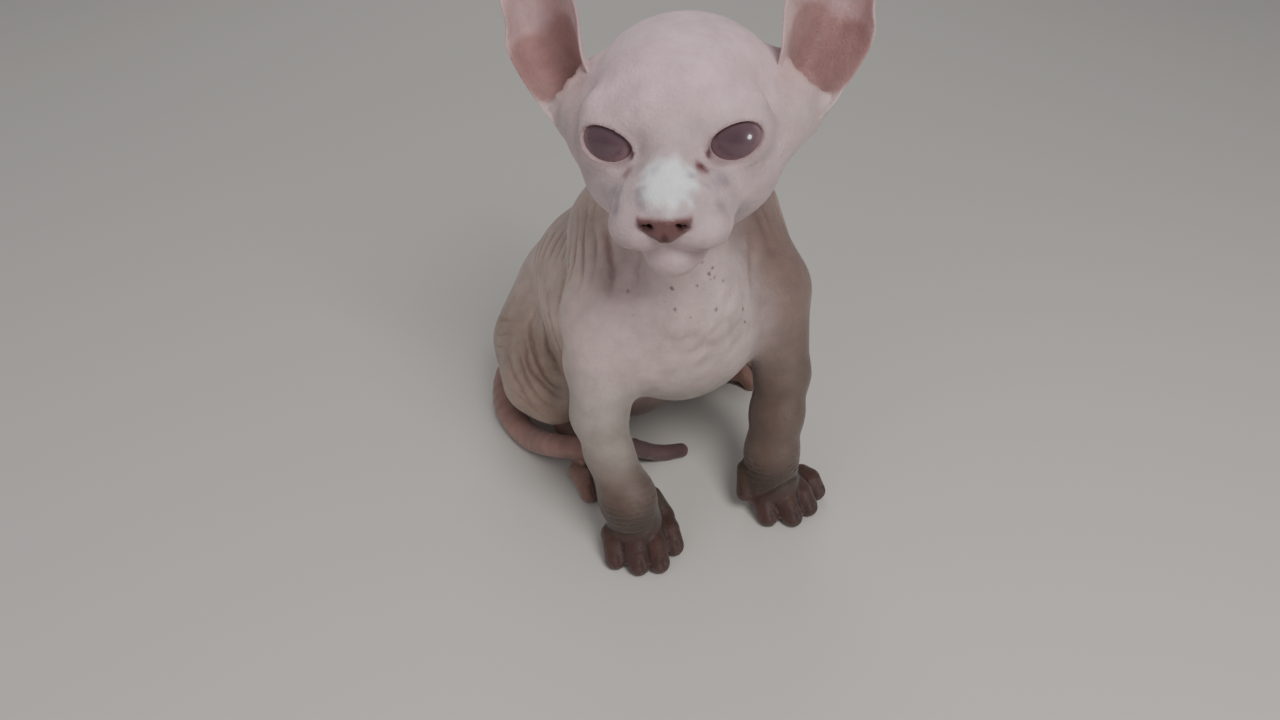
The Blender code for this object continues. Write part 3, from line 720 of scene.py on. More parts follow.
class Folds:
    """A family of creases in the skin, side by side, inside one ball of space.

    The creases lie across one direction, or fan out from a hub where one is given.
    """

    def __init__(self, centre, radii, spacing, depth, across=(0, 0, 1), hub=None, bend=2.0, seed=1):
        self.centre = centre
        self.radii = radii
        self.spacing = spacing
        self.depth = depth
        self.across = np.array(across, float) / np.linalg.norm(across)
        self.hub = hub
        self.bend = bend
        self.seed = seed

    def sink(self, points):
        mask = patch(points, self.centre, self.radii)
        near = np.flatnonzero(mask > 0)
        result = np.zeros(len(points))
        p = points[near]
        run = self.bend * wobble(p, 26, self.seed) + self.bend * 0.4 * wobble(p, 9, self.seed + 1)
        if self.hub is None:
            run = (run + p @ self.across) / self.spacing
        else:
            angle = np.degrees(np.arctan2(p[:, 2] - self.hub[2], p[:, 1] - self.hub[1]))
            run = run / 4.0 + angle / self.spacing
        crease = (1 - np.abs(np.sin(np.pi * run))) ** 2.4
        swell = 0.22 * np.cos(2 * np.pi * run)
        uneven = np.clip(0.6 + 0.8 * wobble(p, 22, self.seed + 2), 0.12, 1)
        result[near] = self.depth * (crease + swell) * uneven * np.minimum(1, 1.8 * mask[near])
        return result


def skin_folds():
    """Where the kitten's loose skin creases."""
    folds = []
    for s, seed in ((-1, 10), (1, 60)):
        folds += [
            Folds((s * 34, 44, 92), (26, 42, 30), 5.0, 0.7, hub=(0, 11, 35), bend=0.5, seed=seed),
            Folds((s * 50, 58, 40), (14, 26, 24), 4.6, 0.4, across=(0, 0.3, 1), bend=1.0, seed=seed + 20),
            Folds((s * 36, 6, 98), (22, 26, 22), 3.6, 0.4, across=(0, 0.9, 0.3), bend=0.8, seed=seed + 4),
            Folds(
                (s * 30, -10, 108), (17, 22, 26), 4.6, 0.8, across=(s * 0.5, 0.72, -0.46),
                bend=1.2, seed=seed + 8,
            ),
            Folds((s * 40, -14, 80), (13, 13, 18), 3.4, 0.45, across=(s * 0.3, 0.95, 0.1), seed=seed + 12),
            Folds((s * 30, 92, 50), (30, 22, 40), 6.5, 0.5, across=(s * 0.6, 0.3, 0.7), seed=seed + 16),
        ]
    folds += [
        Folds((-31, -38, 24), (18, 18, 17), 2.3, 0.5, across=(0.1, 0.25, 1), bend=0.5, seed=20),
        Folds((27, -38, 24), (18, 18, 17), 2.3, 0.5, across=(-0.15, 0.25, 1), bend=0.5, seed=24),
        Folds((-37, -27, 56), (15, 18, 18), 4.2, 0.3, across=(0, 0.4, 1), bend=1.6, seed=28),
        Folds((31, -28, 54), (15, 18, 18), 4.2, 0.3, across=(0, 0.4, 1), bend=1.6, seed=32),
        Folds((0, 30, 110), (34, 40, 24), 6.0, 0.4, across=(0, 0.9, -0.5), bend=2.4, seed=40),
        Folds((-5, 2, 136), (26, 26, 20), 5.0, 0.6, across=(0, 0.8, -0.6), bend=1.8, seed=44),
        Folds((-28, -48, 6), (17, 14, 12), 1.9, 0.26, across=(0, 1, -0.4), bend=0.3, seed=48),
        Folds((32, -47, 6), (17, 14, 12), 1.9, 0.26, across=(-0.2, 1, -0.4), bend=0.3, seed=52),
        Folds((-27, 0, 6), (16, 14, 12), 2.2, 0.26, across=(0, 1, -0.4), bend=0.3, seed=90),
        Folds((62, 40, 6), (16, 16, 12), 2.2, 0.26, across=(-0.7, 0.7, -0.4), bend=0.3, seed=94),
        Folds((-46, 50, 4), (14, 46, 12), 3.2, 0.25, across=(0, 1, 0), bend=0.3, seed=98),
        Folds((-20, 6, 14), (30, 12, 14), 3.2, 0.25, across=(1, 0, 0), bend=0.3, seed=102),
    ]
    return folds


# Single deep folds beside the neck, as the places each passes, its width and its depth
NECK_FOLDS = [
    ([(-27.1, -8.2, 121.1), (-27.8, -12.2, 117.7), (-29, -17.6, 113.4), (-31, -24.7, 109.4),
      (-34.9, -29.7, 104.6)], 1.3, 0.9),
    ([(-22.5, -14, 126), (-23.5, -21, 121), (-25, -28, 116), (-27.5, -33.5, 109)], 1.1, 0.6),
    ([(19, -21.8, 117.2), (18.2, -24.4, 113.8), (16.5, -28.5, 110.6), (11.9, -37.3, 106.8),
      (10.8, -41.4, 99.8)], 1.5, 0.8),
    ([(21, -12, 124), (22.5, -17, 119), (24, -22, 113), (24.5, -28, 106)], 1.3, 0.6),
]
# The same on the flank and haunch, running down and forward to the elbow on either side
FLANK_FOLDS = [
    ([(-37, 27, 80), (-38, 26, 72), (-37, 22, 63), (-36, 19, 55), (-34, 17, 48)], 0.8, 0.9),
    ([(-38, 38, 78), (-38, 36, 66), (-37, 34, 57), (-38, 27, 52), (-37, 21, 49), (-35, 16, 40)], 0.8, 1.1),
    ([(-39, 46, 62), (-41, 40, 53), (-43, 30, 51), (-43, 21, 47), (-41, 17, 43), (-36, 15, 38)], 0.85, 1.2),
    ([(-44, 38, 51), (-46, 30, 50), (-47, 23, 47), (-45, 19, 44), (-40, 15, 38), (-36, 14, 35)], 0.8, 1.0),
    ([(-48, 37, 49), (-49, 28, 48), (-49, 21, 44), (-46, 16, 37), (-40, 14, 32)], 0.8, 0.8),
    ([(-51, 41, 46), (-53, 30, 45), (-52, 22, 41), (-50, 18, 35), (-45, 16, 30)], 0.9, 0.8),
    ([(-55, 28, 39), (-52, 21, 36), (-48, 17, 31), (-43, 15, 27)], 0.8, 0.6),
    ([(-35, 12, 82), (-35, 13, 74), (-34, 13, 64)], 0.8, 0.8),
    ([(-34, 20, 96), (-36, 19, 86), (-36, 18, 74)], 0.9, 0.5),
]
# The edge of each forearm's loose skin where it hangs over the paw
CUFF_FOLDS = [
    ([(18.4, -43.1, 11.4), (22.6, -47.1, 16.3), (28.3, -48.1, 19), (34.3, -45.5, 18.2), (39, -40, 15)], 0.9, 1.0),
    ([(-40.7, -34.3, 11.5), (-39.2, -41.3, 14.8), (-35, -46.1, 16), (-29.7, -47.3, 16.5), (-24.6, -45.6, 16.8)],
     0.8, 0.7),
]
CHEEK_CREASE = [(12.1, -13, -8.8), (13.4, -14.2, -11.7), (14.9, -14.7, -15.1), (16.7, -12.2, -18.4)]


def groove(points, line, width, tapered=False):
    """1 on the line, falling to 0 with the distance from it, and at its ends where it is tapered."""
    tree = KDTree(len(line))
    for i, point in enumerate(line):
        tree.insert(point, i)
    tree.balance()
    middle = line.mean(axis=0)
    reach = np.linalg.norm(line - middle, axis=1).max() + 4 * width
    result = np.full(len(points), 1e3)
    share = np.zeros(len(points))
    for i in np.flatnonzero(lengths(points - middle) < reach):
        _, nearest, result[i] = tree.find(points[i])
        share[i] = nearest / (len(line) - 1)
    fade = np.sin(np.pi * share) ** 0.7 if tapered else 1.0
    return np.exp(-((result / width) ** 2)) * fade


def lip_line():
    half = np.array(LIP_LINE)
    return np.vstack((half[:0:-1] * (-1, 1, 1), half))


def face_grooves(local):
    """How far the lips' line, the groove under the nose and the cheeks' creases sink into the face."""
    mirrored = local * (1, 1, 1)
    mirrored[:, 0] = np.abs(local[:, 0])
    mouth = groove(local, smooth_line(lip_line(), 160), 0.75)
    philtrum = groove(local, smooth_line([(0, -25.6, -19.5), (0, -24.4, -23.6)], 24), 0.7)
    cheek = groove(mirrored, smooth_line(CHEEK_CREASE, 40), 1.2)
    under_eye = groove(mirrored, smooth_line(UNDER_EYE, 50), 0.8)
    brow = groove(mirrored, smooth_line(BROW_CREASE, 50), 1.0)
    return 1.1 * mouth + 0.8 * philtrum + 0.35 * cheek + 0.2 * under_eye + 0.3 * brow


def on_the_skin(points, line):
    """The line drawn on to the nearest of the skin's points, then smoothed."""
    reach = lengths(line - line.mean(axis=0)).max() + 6
    near = points[lengths(points - line.mean(axis=0)) < reach]
    tree = KDTree(len(near))
    for i, point in enumerate(near):
        tree.insert(point, i)
    tree.balance()
    line = np.array([tree.find(point)[0] for point in line])
    for _ in range(6):
        line[1:-1] = line[1:-1] / 2 + (line[:-2] + line[2:]) / 4
    return line


def single_grooves(points):
    """How far the single folds beside the neck, on the flanks and over the paws sink."""
    folds = NECK_FOLDS + CUFF_FOLDS
    for stops, width, depth in FLANK_FOLDS:
        folds.append((stops, width, depth))
        folds.append(([(-x, y, z) for x, y, z in stops], width, depth))
    total = np.zeros(len(points))
    for stops, width, depth in folds:
        line = on_the_skin(points, smooth_line(stops, 80))
        total = np.maximum(total, depth * groove(points, line, width, tapered=True))
    return total


def make_skin():
    groups = body_groups()

    def distance(points):
        far = np.full(len(points), 1e3)
        for group in groups:
            far = group.blend_into(far, points)
        return np.maximum(far, -points[:, 2])

    bm = bmesh.new()
    for group in groups:
        group.add_to(bm)
    mesh = bpy.data.meshes.new("skin")
    bm.to_mesh(mesh)
    bm.free()
    skin = fuse(new_object("skin", mesh), BLOCK_VOXEL)
    set_points(skin.data, drawn_onto(points_of(skin.data), distance, rounds=3))
    fuse(skin, SKIN_VOXEL)
    largest_piece(skin)
    points = drawn_onto(points_of(skin.data), distance, rounds=2)
    set_points(skin.data, points)
    fuse(skin, SKIN_VOXEL)
    largest_piece(skin)
    points = drawn_onto(points_of(skin.data), distance, rounds=2)
    points = relaxed(skin.data, points, np.full(len(points), 0.5), 2)
    points = drawn_onto(points, distance, rounds=1)
    set_points(skin.data, points)

    local = HEAD.local(points)
    finer_where(skin, (lengths(local - (0, -12, -10)) < FACE_REACH) & (local[:, 1] < 10))
    set_points(skin.data, drawn_onto(points_of(skin.data), distance, rounds=2))
    untangled(skin.data)

    # The ears join the head once their bowls are cut, and the openings of the eyes and nose follow
    bowls = [form_object("bowl", form, s) for form in ear_bowl() for s in (-1, 1)]
    combine(skin, bowls, "DIFFERENCE")
    combine(skin, [make_ear(-1), make_ear(1)], "UNION")
    nostril = Limb((3.4, -26.5, -18.4), (4.2, -20.5, -17.2), 1.15, 0.8)
    slit = Limb((4.0, -25.0, -18.1), (6.2, -22.3, -17.2), 0.6, 0.4)
    forms = (eye_opening(), eye_corner(), nostril, slit)
    combine(skin, [form_object("cutter", form, s) for form in forms for s in (-1, 1)], "DIFFERENCE")
    largest_piece(skin)
    return skin


def softened(skin):
    """Rounds the rims of the openings and the roots of the ears."""
    points = points_of(skin.data)
    local = HEAD.local(points)
    local[:, 0] = np.abs(local[:, 0])
    rim = 1 - smooth_step(0.5, 1.6, np.abs(eye_opening().distance(local)))
    points = relaxed(skin.data, points, rim * 0.5, 3)
    bowl = np.min([np.abs(form.distance(local)) for form in ear_bowl()], axis=0)
    root = (1 - smooth_step(1.2, 3.0, bowl)) * smooth_step(20, 25, local[:, 0])
    return relaxed(skin.data, points, root * 0.5, 6)


def all_folds(points, local):
    """The depth of every family of creases, which fade out on the head."""
    off_head = np.clip(smooth_step(-16, -26, local[:, 2]) + smooth_step(30, 44, local[:, 1]), 0, 1)
    total = np.zeros(len(points))
    for folds in skin_folds():
        total += folds.sink(points) * off_head
    return total


def claw_slits():
    """The short groove on top of each toe's tip, where the claw lies hidden."""
    r = TOE_RADIUS
    lines = []
    for toe in RIGHT_PAW_TOES + LEFT_PAW_TOES + RIGHT_HIND_TOES + LEFT_HIND_TOES:
        knuckle, tip = (np.array((*end, 0.0)) for end in toe)
        forward = (tip - knuckle) / np.linalg.norm(tip - knuckle)
        rise = np.radians(np.linspace(80, 15, 12))[:, None]
        lines.append(tip + forward * np.cos(rise) * r + np.array((0, 0, r)) * np.sin(rise) + (0, 0, r - 0.6))
    return lines


def slit_depth(points):
    total = np.zeros(len(points))
    for line in claw_slits():
        total = np.maximum(total, groove(points, line, 0.6))
    return total


def creased(skin):
    """Sinks the folds and the lines of the face into the skin."""
    points = points_of(skin.data)
    normals = normals_of(skin.data)
    local = HEAD.local(points)
    sink = face_grooves(local) + single_grooves(points)
    sink += all_folds(points, local)
    chest = patch(points, (-5, -42, 96), (34, 26, 34))
    sink += 0.5 * chest * (wobble(points, 8.5, 71) + 0.5 * wobble(points, 4.2, 72))
    sink += 0.55 * slit_depth(points)
    return points - normals * sink[:, None]


def place(mesh):
    """Takes a finished mesh from millimetres in the kitten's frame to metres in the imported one."""
    set_points(mesh, (points_of(mesh) - MIDDLE) * MM)
    mesh.shade_smooth()


def linear(*tone):
    """A colour given as it looks on a screen, 0 to 255, as the linear values that shaders use."""
    t = np.array(tone, float) / 255
    return np.where(t < 0.04045, t / 12.92, ((t + 0.055) / 1.055) ** 2.4)


SKIN_TONE = linear(190, 169, 167)
FACE_TONE = linear(184, 161, 163)
FOREHEAD_TONE = linear(212, 182, 187)
CORNER_TONE = linear(100, 70, 76)
FLANK_TONE = linear(184, 162, 152)
HAUNCH_TONE = linear(152, 131, 119)
SIDE_TONE = linear(122, 101, 94)
ARM_TONE = linear(150, 139, 132)
LEG_TONE = linear(94, 77, 69)
WRIST_TONE = linear(66, 51, 43)
PAW_TONE = linear(70, 46, 41)
TOE_CLEFT_SHADE = linear(38, 20, 18)
HIND_TOE_TONE = linear(132, 100, 90)
BELLY_BROWN_AND_SHADE = linear(104, 80, 75)
TAIL_TONE = linear(146, 110, 103)
TAIL_TIP_SHADE_TONE = linear(96, 72, 74)
EAR_TONE = linear(178, 147, 145)
NOSE_TONE = linear(104, 70, 70)
NOSTRIL_TONE = linear(66, 36, 36)
LID_TONE = linear(146, 120, 120)
PALE_FUZZ_AND_SHEEN_TONE = linear(226, 226, 228)
GREY_TONE = linear(124, 116, 122)
SPOT_TONE = linear(92, 52, 54)
DOT_TONE = linear(84, 74, 76)
HOLLOW_TONE = linear(138, 98, 94)


# Grey marks on the muzzle, as places in the kitten's frame, their size and their strength
GREY_MARKS = [
    ((-41.5, -53, 153.4), 4.5, 0.45),
    ((-43.1, -56.7, 149.8), 3.5, 0.5),
    ((-39, -63.2, 155), 4.0, 0.4),
    ((-27.1, -70.3, 155.8), 3.0, 0.35),
    ((-16.9, -66.6, 157.3), 4.2, 0.45),
    ((-19, -71.7, 152), 3.4, 0.4),
    ((-10.1, -65.5, 146.3), 5.0, 0.5),
    ((-34.5, -66.0, 152.0), 3.6, 0.4),
    ((-22.0, -68.8, 158.2), 2.6, 0.45),
    ((-33.0, -61.5, 160.5), 2.8, 0.4),
    ((-14.8, -61.6, 151.0), 4.2, 0.4),
    ((-25.4, -66.7, 159.8), 2.2, 0.5),
    ((-38.5, -61.3, 156.3), 2.6, 0.5),
    ((-42.7, -56.5, 150.5), 2.4, 0.5),
]
# Dark spots in the inner corners of the eyes, in the head's frame
INNER_EYE_SPOTS = [((-11.1, -11.5, -6.8), 0.35), ((8.7, -12.1, -5.9), 0.7)]
# Small dark dots on the chest: places in the kitten's frame and sizes
CHEST_DOTS = [
    (-28.3, -31.2, 106.8, 1.5),
    (-19.5, -44, 113.1, 1.5),
    (-13.2, -48.2, 114.5, 1.2),
    (-9.4, -48.4, 117.9, 1.3),
    (-19.1, -45.6, 106.3, 1.3),
    (-28.9, -35.7, 101, 1.1),
    (-7.3, -50.2, 105.6, 1.2),
    (4.7, -46.3, 100.7, 1.5),
    (6.8, -44.7, 94.3, 1.3),
    (-11.4, -47.8, 122, 0.9),
    (-8.1, -48.1, 119.6, 1.3),
    (-7.3, -48.4, 116.2, 1.0),
    (-5.6, -47.6, 120.4, 0.8),
    (-4.2, -48.1, 114.1, 1.0),
    (-15.4, -48.7, 104.1, 0.8),
    (-1.7, -48.5, 108.3, 0.8),
    (-21.6, -42.8, 108, 0.7),
]


def toe_clefts(points):
    """1 in the clefts between neighbouring toes, and 0 on the toes."""
    low = np.flatnonzero(points[:, 2] < 20)
    result = np.zeros(len(points))
    for toes in (RIGHT_PAW_TOES, LEFT_PAW_TOES, RIGHT_HIND_TOES, LEFT_HIND_TOES):
        far = np.sort(
            [np.min([limb.distance(points[low]) for limb in toe_forms([toe])], axis=0) for toe in toes],
            axis=0,
        )
        cleft = smooth_step(1.5, 0.3, far[1] - far[0]) * smooth_step(2.0, 0.8, far[0])
        result[low] = np.maximum(result[low], cleft)
    return result


def skin_tones(points, normals):
    """The colour of every point of the skin."""
    local = HEAD.local(points)
    facing = HEAD.local(points + normals) - local
    mirrored = local * (1, 1, 1)
    mirrored[:, 0] = np.abs(local[:, 0])
    tones = np.tile(SKIN_TONE, (len(points), 1))

    def lay(colour, amount):
        amount = np.clip(amount, 0, 1)[:, None]
        tones[:] = tones * (1 - amount) + colour * amount

    back = smooth_step(-20, 10, points[:, 1] + 0.35 * np.abs(points[:, 0]))
    lay(FLANK_TONE, 0.9 * back * smooth_step(156, 126, points[:, 2]))
    lay(HAUNCH_TONE, back * smooth_step(66, 46, points[:, 2]))
    lay(FACE_TONE, smooth_step(44, 30, lengths(local - (0, -5, -8))))
    lay(FOREHEAD_TONE, smooth_step(2, 14, local[:, 2]))
    front = smooth_step(-12, -24, points[:, 1])
    left_side = smooth_step(6, 30, points[:, 0] + 0.2 * (points[:, 2] - 90))
    lay(SIDE_TONE, left_side * smooth_step(150, 124, points[:, 2]) * (0.6 + 0.4 * front))
    left_leg = smooth_step(6, 20, points[:, 0])
    lay(LEG_TONE, smooth_step(94, 52, points[:, 2]) * front * left_leg)
    lay(ARM_TONE, smooth_step(84, 62, points[:, 2]) * front * (1 - left_leg))
    lay(LEG_TONE, smooth_step(58, 28, points[:, 2] + 2 * wobble(points, 14, 6)) * front)
    # The lower belly between the hind legs: partly its browner skin, partly painted shade under the body
    lay(BELLY_BROWN_AND_SHADE, smooth_step(44, 30, points[:, 2]) * back * smooth_step(30, 20, np.abs(points[:, 0])))
    lay(WRIST_TONE, smooth_step(32, 20, points[:, 2] + 1.5 * wobble(points, 9, 7)) * front)
    lay(PAW_TONE, smooth_step(17, 10, points[:, 2] + 1.2 * wobble(points, 7, 5)) * front)
    lay(HIND_TOE_TONE, smooth_step(15, 9, points[:, 2]) * (points[:, 1] < 34) * (1 - front))
    lay(HIND_TOE_TONE, smooth_step(13, 8, points[:, 2]) * (points[:, 0] > 44) * (1 - front))
    # Painted shade: the clefts between the toes are darkened
    lay(TOE_CLEFT_SHADE, toe_clefts(points))
    tail = np.min([form.distance(points) for form in tail_forms()], axis=0)
    # Painted shade: the tail's tip, which lies under the body, is darkened
    tip = smooth_step(-30, -12, points[:, 0]) * (points[:, 1] < 20)
    tail_with_shaded_tip = TAIL_TONE * (1 - tip[:, None]) + TAIL_TIP_SHADE_TONE * tip[:, None]
    lay(tail_with_shaded_tip, smooth_step(1.2, 0.5, tail))
    ear = smooth_step(24, 30, mirrored[:, 0]) * smooth_step(2, 12, local[:, 2])
    lay(EAR_TONE, 0.8 * ear)
    ragged = 1.6 * np.stack([wobble(local, 5, seed) for seed in (81, 82, 83)], axis=1)
    # The pale nose bridge: partly its pale fuzz, partly a painted sheen highlight laid into the colour
    lay(PALE_FUZZ_AND_SHEEN_TONE, 3.2 * patch(local + 0.6 * ragged, (0.9, -17.5, -9.2), (9.2, 11, 9.4)))
    for centre, size, amount in GREY_MARKS:
        lay(GREY_TONE, amount * 1.5 * patch(points + 0.6 * ragged, centre, (size, size, size)))
    for centre, amount in INNER_EYE_SPOTS:
        lay(SPOT_TONE, amount * 2 * patch(local + 0.3 * ragged, centre, (3.0, 3.0, 3.2)))
    nose = np.min([form.distance(mirrored) for form in nose_forms()], axis=0)
    half_width = np.interp(local[:, 2], (-22.6, -20.9, -19.2, -16.6), (1.2, 3.8, 6.0, 7.2))
    leather = smooth_step(1.3, 0.4, nose) * smooth_step(-14.6, -16.4, local[:, 2])
    lay(NOSE_TONE, leather * smooth_step(0.7, -0.3, mirrored[:, 0] - half_width))
    lay(NOSTRIL_TONE, 1.5 * patch(mirrored, (4.9, -22.8, -18.0), (3.8, 4.6, 2.1)))
    lay(NOSTRIL_TONE, 1.4 * patch(local, (0, -23.6, -21.4), (1.8, 3.4, 2.6)))
    lids = np.abs(eye_opening().distance(mirrored))
    lay(LID_TONE, 0.6 * smooth_step(0.8, 0.3, lids) * (mirrored[:, 1] < 6))
    lay(CORNER_TONE, smooth_step(0.7, 0.1, eye_corner().distance(mirrored)))
    lay(LID_TONE, 0.5 * groove(local, smooth_line(lip_line(), 160), 0.8))
    hollow = np.min([form.distance(mirrored) for form in ear_bowl()], axis=0)
    lay(HOLLOW_TONE, 0.7 * smooth_step(1.5, -0.5, hollow) * smooth_step(0.2, -0.2, facing[:, 1]))
    # Painted shade: the colour is darkened, and turned a little towards red, in the folds, the single grooves and
    # the claw slits
    depth = np.maximum(all_folds(points, local), 0) + 0.8 * single_grooves(points)
    depth += 1.2 * slit_depth(points)
    shade = 1 - 0.32 * np.clip(depth / 0.7, 0, 1)
    return tones * shade[:, None] ** np.array((0.8, 1.0, 1.05))


def paint(mesh, tones):
    colours = mesh.attributes.new("skin_tone", "FLOAT_COLOR", "POINT")
    colours.data.foreach_set("color", np.hstack((tones, np.ones((len(tones), 1)))).ravel())


def node_tree(name):
    """A new material, with its node tree and its shader."""
    material = bpy.data.materials.new(name)
    material.use_nodes = True
    tree = material.node_tree
    return material, tree, tree.nodes["Principled BSDF"]


def small_dots(count=16):
    """More, smaller dots scattered near the larger ones."""
    rng = np.random.default_rng(7)
    near = rng.integers(0, len(CHEST_DOTS), count)
    return [
        (x + dx, y + 0.2 * dx, z + dz, size * 0.62)
        for (x, y, z, size), dx, dz in zip(
            (CHEST_DOTS[i] for i in near), rng.uniform(-5, 5, count), rng.uniform(-4, 4, count)
        )
    ]


def dots_mask(tree, place_node):
    """A socket that is 1 inside the small dots of the chest and 0 outside them."""
    deepest = None
    ragged = tree.nodes.new("ShaderNodeTexNoise")
    ragged.inputs["Scale"].default_value = 900
    tree.links.new(place_node.outputs["Object"], ragged.inputs["Vector"])
    shifted = tree.nodes.new("ShaderNodeVectorMath")
    shifted.operation = "MULTIPLY_ADD"
    shifted.inputs[1].default_value = (1.6 * MM, 1.6 * MM, 1.6 * MM)
    tree.links.new(ragged.outputs["Color"], shifted.inputs[0])
    tree.links.new(place_node.outputs["Object"], shifted.inputs[2])
    for x, y, z, size in CHEST_DOTS + small_dots():
        far = tree.nodes.new("ShaderNodeVectorMath")
        far.operation = "DISTANCE"
        far.inputs[1].default_value = (np.array((x, y, z)) - MIDDLE + 0.8) * MM
        tree.links.new(shifted.outputs["Vector"], far.inputs[0])
        inside = tree.nodes.new("ShaderNodeMath")
        inside.operation = "SUBTRACT"
        inside.inputs[0].default_value = 0.72 * size * MM
        tree.links.new(far.outputs["Value"], inside.inputs[1])
        if deepest is not None:
            larger = tree.nodes.new("ShaderNodeMath")
            larger.operation = "MAXIMUM"
            tree.links.new(deepest, larger.inputs[0])
            tree.links.new(inside.outputs["Value"], larger.inputs[1])
            deepest = larger.outputs["Value"]
        else:
            deepest = inside.outputs["Value"]
    soft = tree.nodes.new("ShaderNodeMapRange")
    soft.inputs["From Min"].default_value = 0.0
    soft.inputs["From Max"].default_value = 0.7 * MM
    soft.inputs["To Max"].default_value = 0.85
    tree.links.new(deepest, soft.inputs["Value"])
    return soft.outputs["Result"]


def skin_material():
    material, tree, shader = node_tree("bare skin")
    tone = tree.nodes.new("ShaderNodeAttribute")
    tone.attribute_name = "skin_tone"
    place_node = tree.nodes.new("ShaderNodeTexCoord")
    blotches = tree.nodes.new("ShaderNodeTexNoise")
    blotches.inputs["Scale"].default_value = 110
    blotches.inputs["Detail"].default_value = 7
    blotches.inputs["Roughness"].default_value = 0.62
    tree.links.new(place_node.outputs["Object"], blotches.inputs["Vector"])
    mottle = tree.nodes.new("ShaderNodeMapRange")
    mottle.inputs["From Min"].default_value = 0.3
    mottle.inputs["From Max"].default_value = 0.7
    mottle.inputs["To Min"].default_value = 0.80
    mottle.inputs["To Max"].default_value = 1.14
    tree.links.new(blotches.outputs["Fac"], mottle.inputs["Value"])
    mixed = tree.nodes.new("ShaderNodeVectorMath")
    mixed.operation = "SCALE"
    tree.links.new(tone.outputs["Color"], mixed.inputs[0])
    tree.links.new(mottle.outputs["Result"], mixed.inputs["Scale"])
    spotted = tree.nodes.new("ShaderNodeMix")
    spotted.data_type = "RGBA"
    spotted.inputs["B"].default_value = (*DOT_TONE, 1)
    tree.links.new(dots_mask(tree, place_node), spotted.inputs["Factor"])
    tree.links.new(mixed.outputs["Vector"], spotted.inputs["A"])
    tree.links.new(spotted.outputs["Result"], shader.inputs["Base Color"])
    pores = tree.nodes.new("ShaderNodeTexVoronoi")
    pores.feature = "DISTANCE_TO_EDGE"
    pores.inputs["Scale"].default_value = 700
    warped = tree.nodes.new("ShaderNodeTexNoise")
    warped.inputs["Scale"].default_value = 260
    warped.inputs["Detail"].default_value = 4
    tree.links.new(place_node.outputs["Object"], warped.inputs["Vector"])
    bent = tree.nodes.new("ShaderNodeVectorMath")
    bent.operation = "MULTIPLY_ADD"
    bent.inputs[1].default_value = (0.002, 0.002, 0.002)
    tree.links.new(warped.outputs["Color"], bent.inputs[0])
    tree.links.new(place_node.outputs["Object"], bent.inputs[2])
    tree.links.new(bent.outputs["Vector"], pores.inputs["Vector"])
    height = tree.nodes.new("ShaderNodeMath")
    height.operation = "ADD"
    tree.links.new(pores.outputs["Distance"], height.inputs[0])
    tree.links.new(warped.outputs["Fac"], height.inputs[1])
    bump = tree.nodes.new("ShaderNodeBump")
    bump.inputs["Strength"].default_value = 0.45
    bump.inputs["Distance"].default_value = 0.0005
    tree.links.new(height.outputs["Value"], bump.inputs["Height"])
    tree.links.new(bump.outputs["Normal"], shader.inputs["Normal"])
    shader.inputs["Roughness"].default_value = 0.55
    shader.inputs["Subsurface Weight"].default_value = 0.2
    shader.inputs["Subsurface Scale"].default_value = 0.002
    shader.inputs["Subsurface Radius"].default_value = (1.0, 0.45, 0.3)
    shader.inputs["Sheen Weight"].default_value = 0.15
    shader.inputs["Sheen Roughness"].default_value = 0.5
    return material


def stops_on(ramp, stops):
    """Sets a colour ramp's stops from positions and linear colours."""
    while len(ramp.elements) < len(stops):
        ramp.elements.new(1.0)
    for element, (position, colour) in zip(ramp.elements, stops):
        element.position = position
        element.color = (*colour, 1)


def eye_material():
    """A wide pupil, a fibrous dark iris, its darker rim, and the dim white beyond it."""
    material, tree, shader = node_tree("wet eye")
    off_axis = tree.nodes.new("ShaderNodeAttribute")
    off_axis.attribute_name = "off_axis"
    spoke = tree.nodes.new("ShaderNodeAttribute")
    spoke.attribute_name = "spoke"
    fibres = tree.nodes.new("ShaderNodeTexNoise")
    fibres.inputs["Scale"].default_value = 7
    fibres.inputs["Detail"].default_value = 3
    tree.links.new(spoke.outputs["Vector"], fibres.inputs["Vector"])
    wavering = tree.nodes.new("ShaderNodeMath")
    wavering.operation = "MULTIPLY_ADD"
    wavering.inputs[1].default_value = 0.08
    tree.links.new(fibres.outputs["Fac"], wavering.inputs[0])
    tree.links.new(off_axis.outputs["Fac"], wavering.inputs[2])
    colours = tree.nodes.new("ShaderNodeValToRGB")
    stops_on(colours.color_ramp, [
        (0.00, linear(74, 54, 62)),
        (0.38, linear(90, 68, 76)),
        (0.50, linear(124, 100, 106)),
        (0.62, linear(112, 88, 94)),
        (0.70, linear(58, 42, 46)),
        (0.84, linear(104, 84, 82)),
    ])
    tree.links.new(wavering.outputs["Value"], colours.inputs["Fac"])
    tree.links.new(colours.outputs["Color"], shader.inputs["Base Color"])
    shader.inputs["Roughness"].default_value = 0.3
    shader.inputs["Specular IOR Level"].default_value = 0.25
    shader.inputs["Coat Weight"].default_value = 0.8
    shader.inputs["Coat Roughness"].default_value = 0.04
    return material


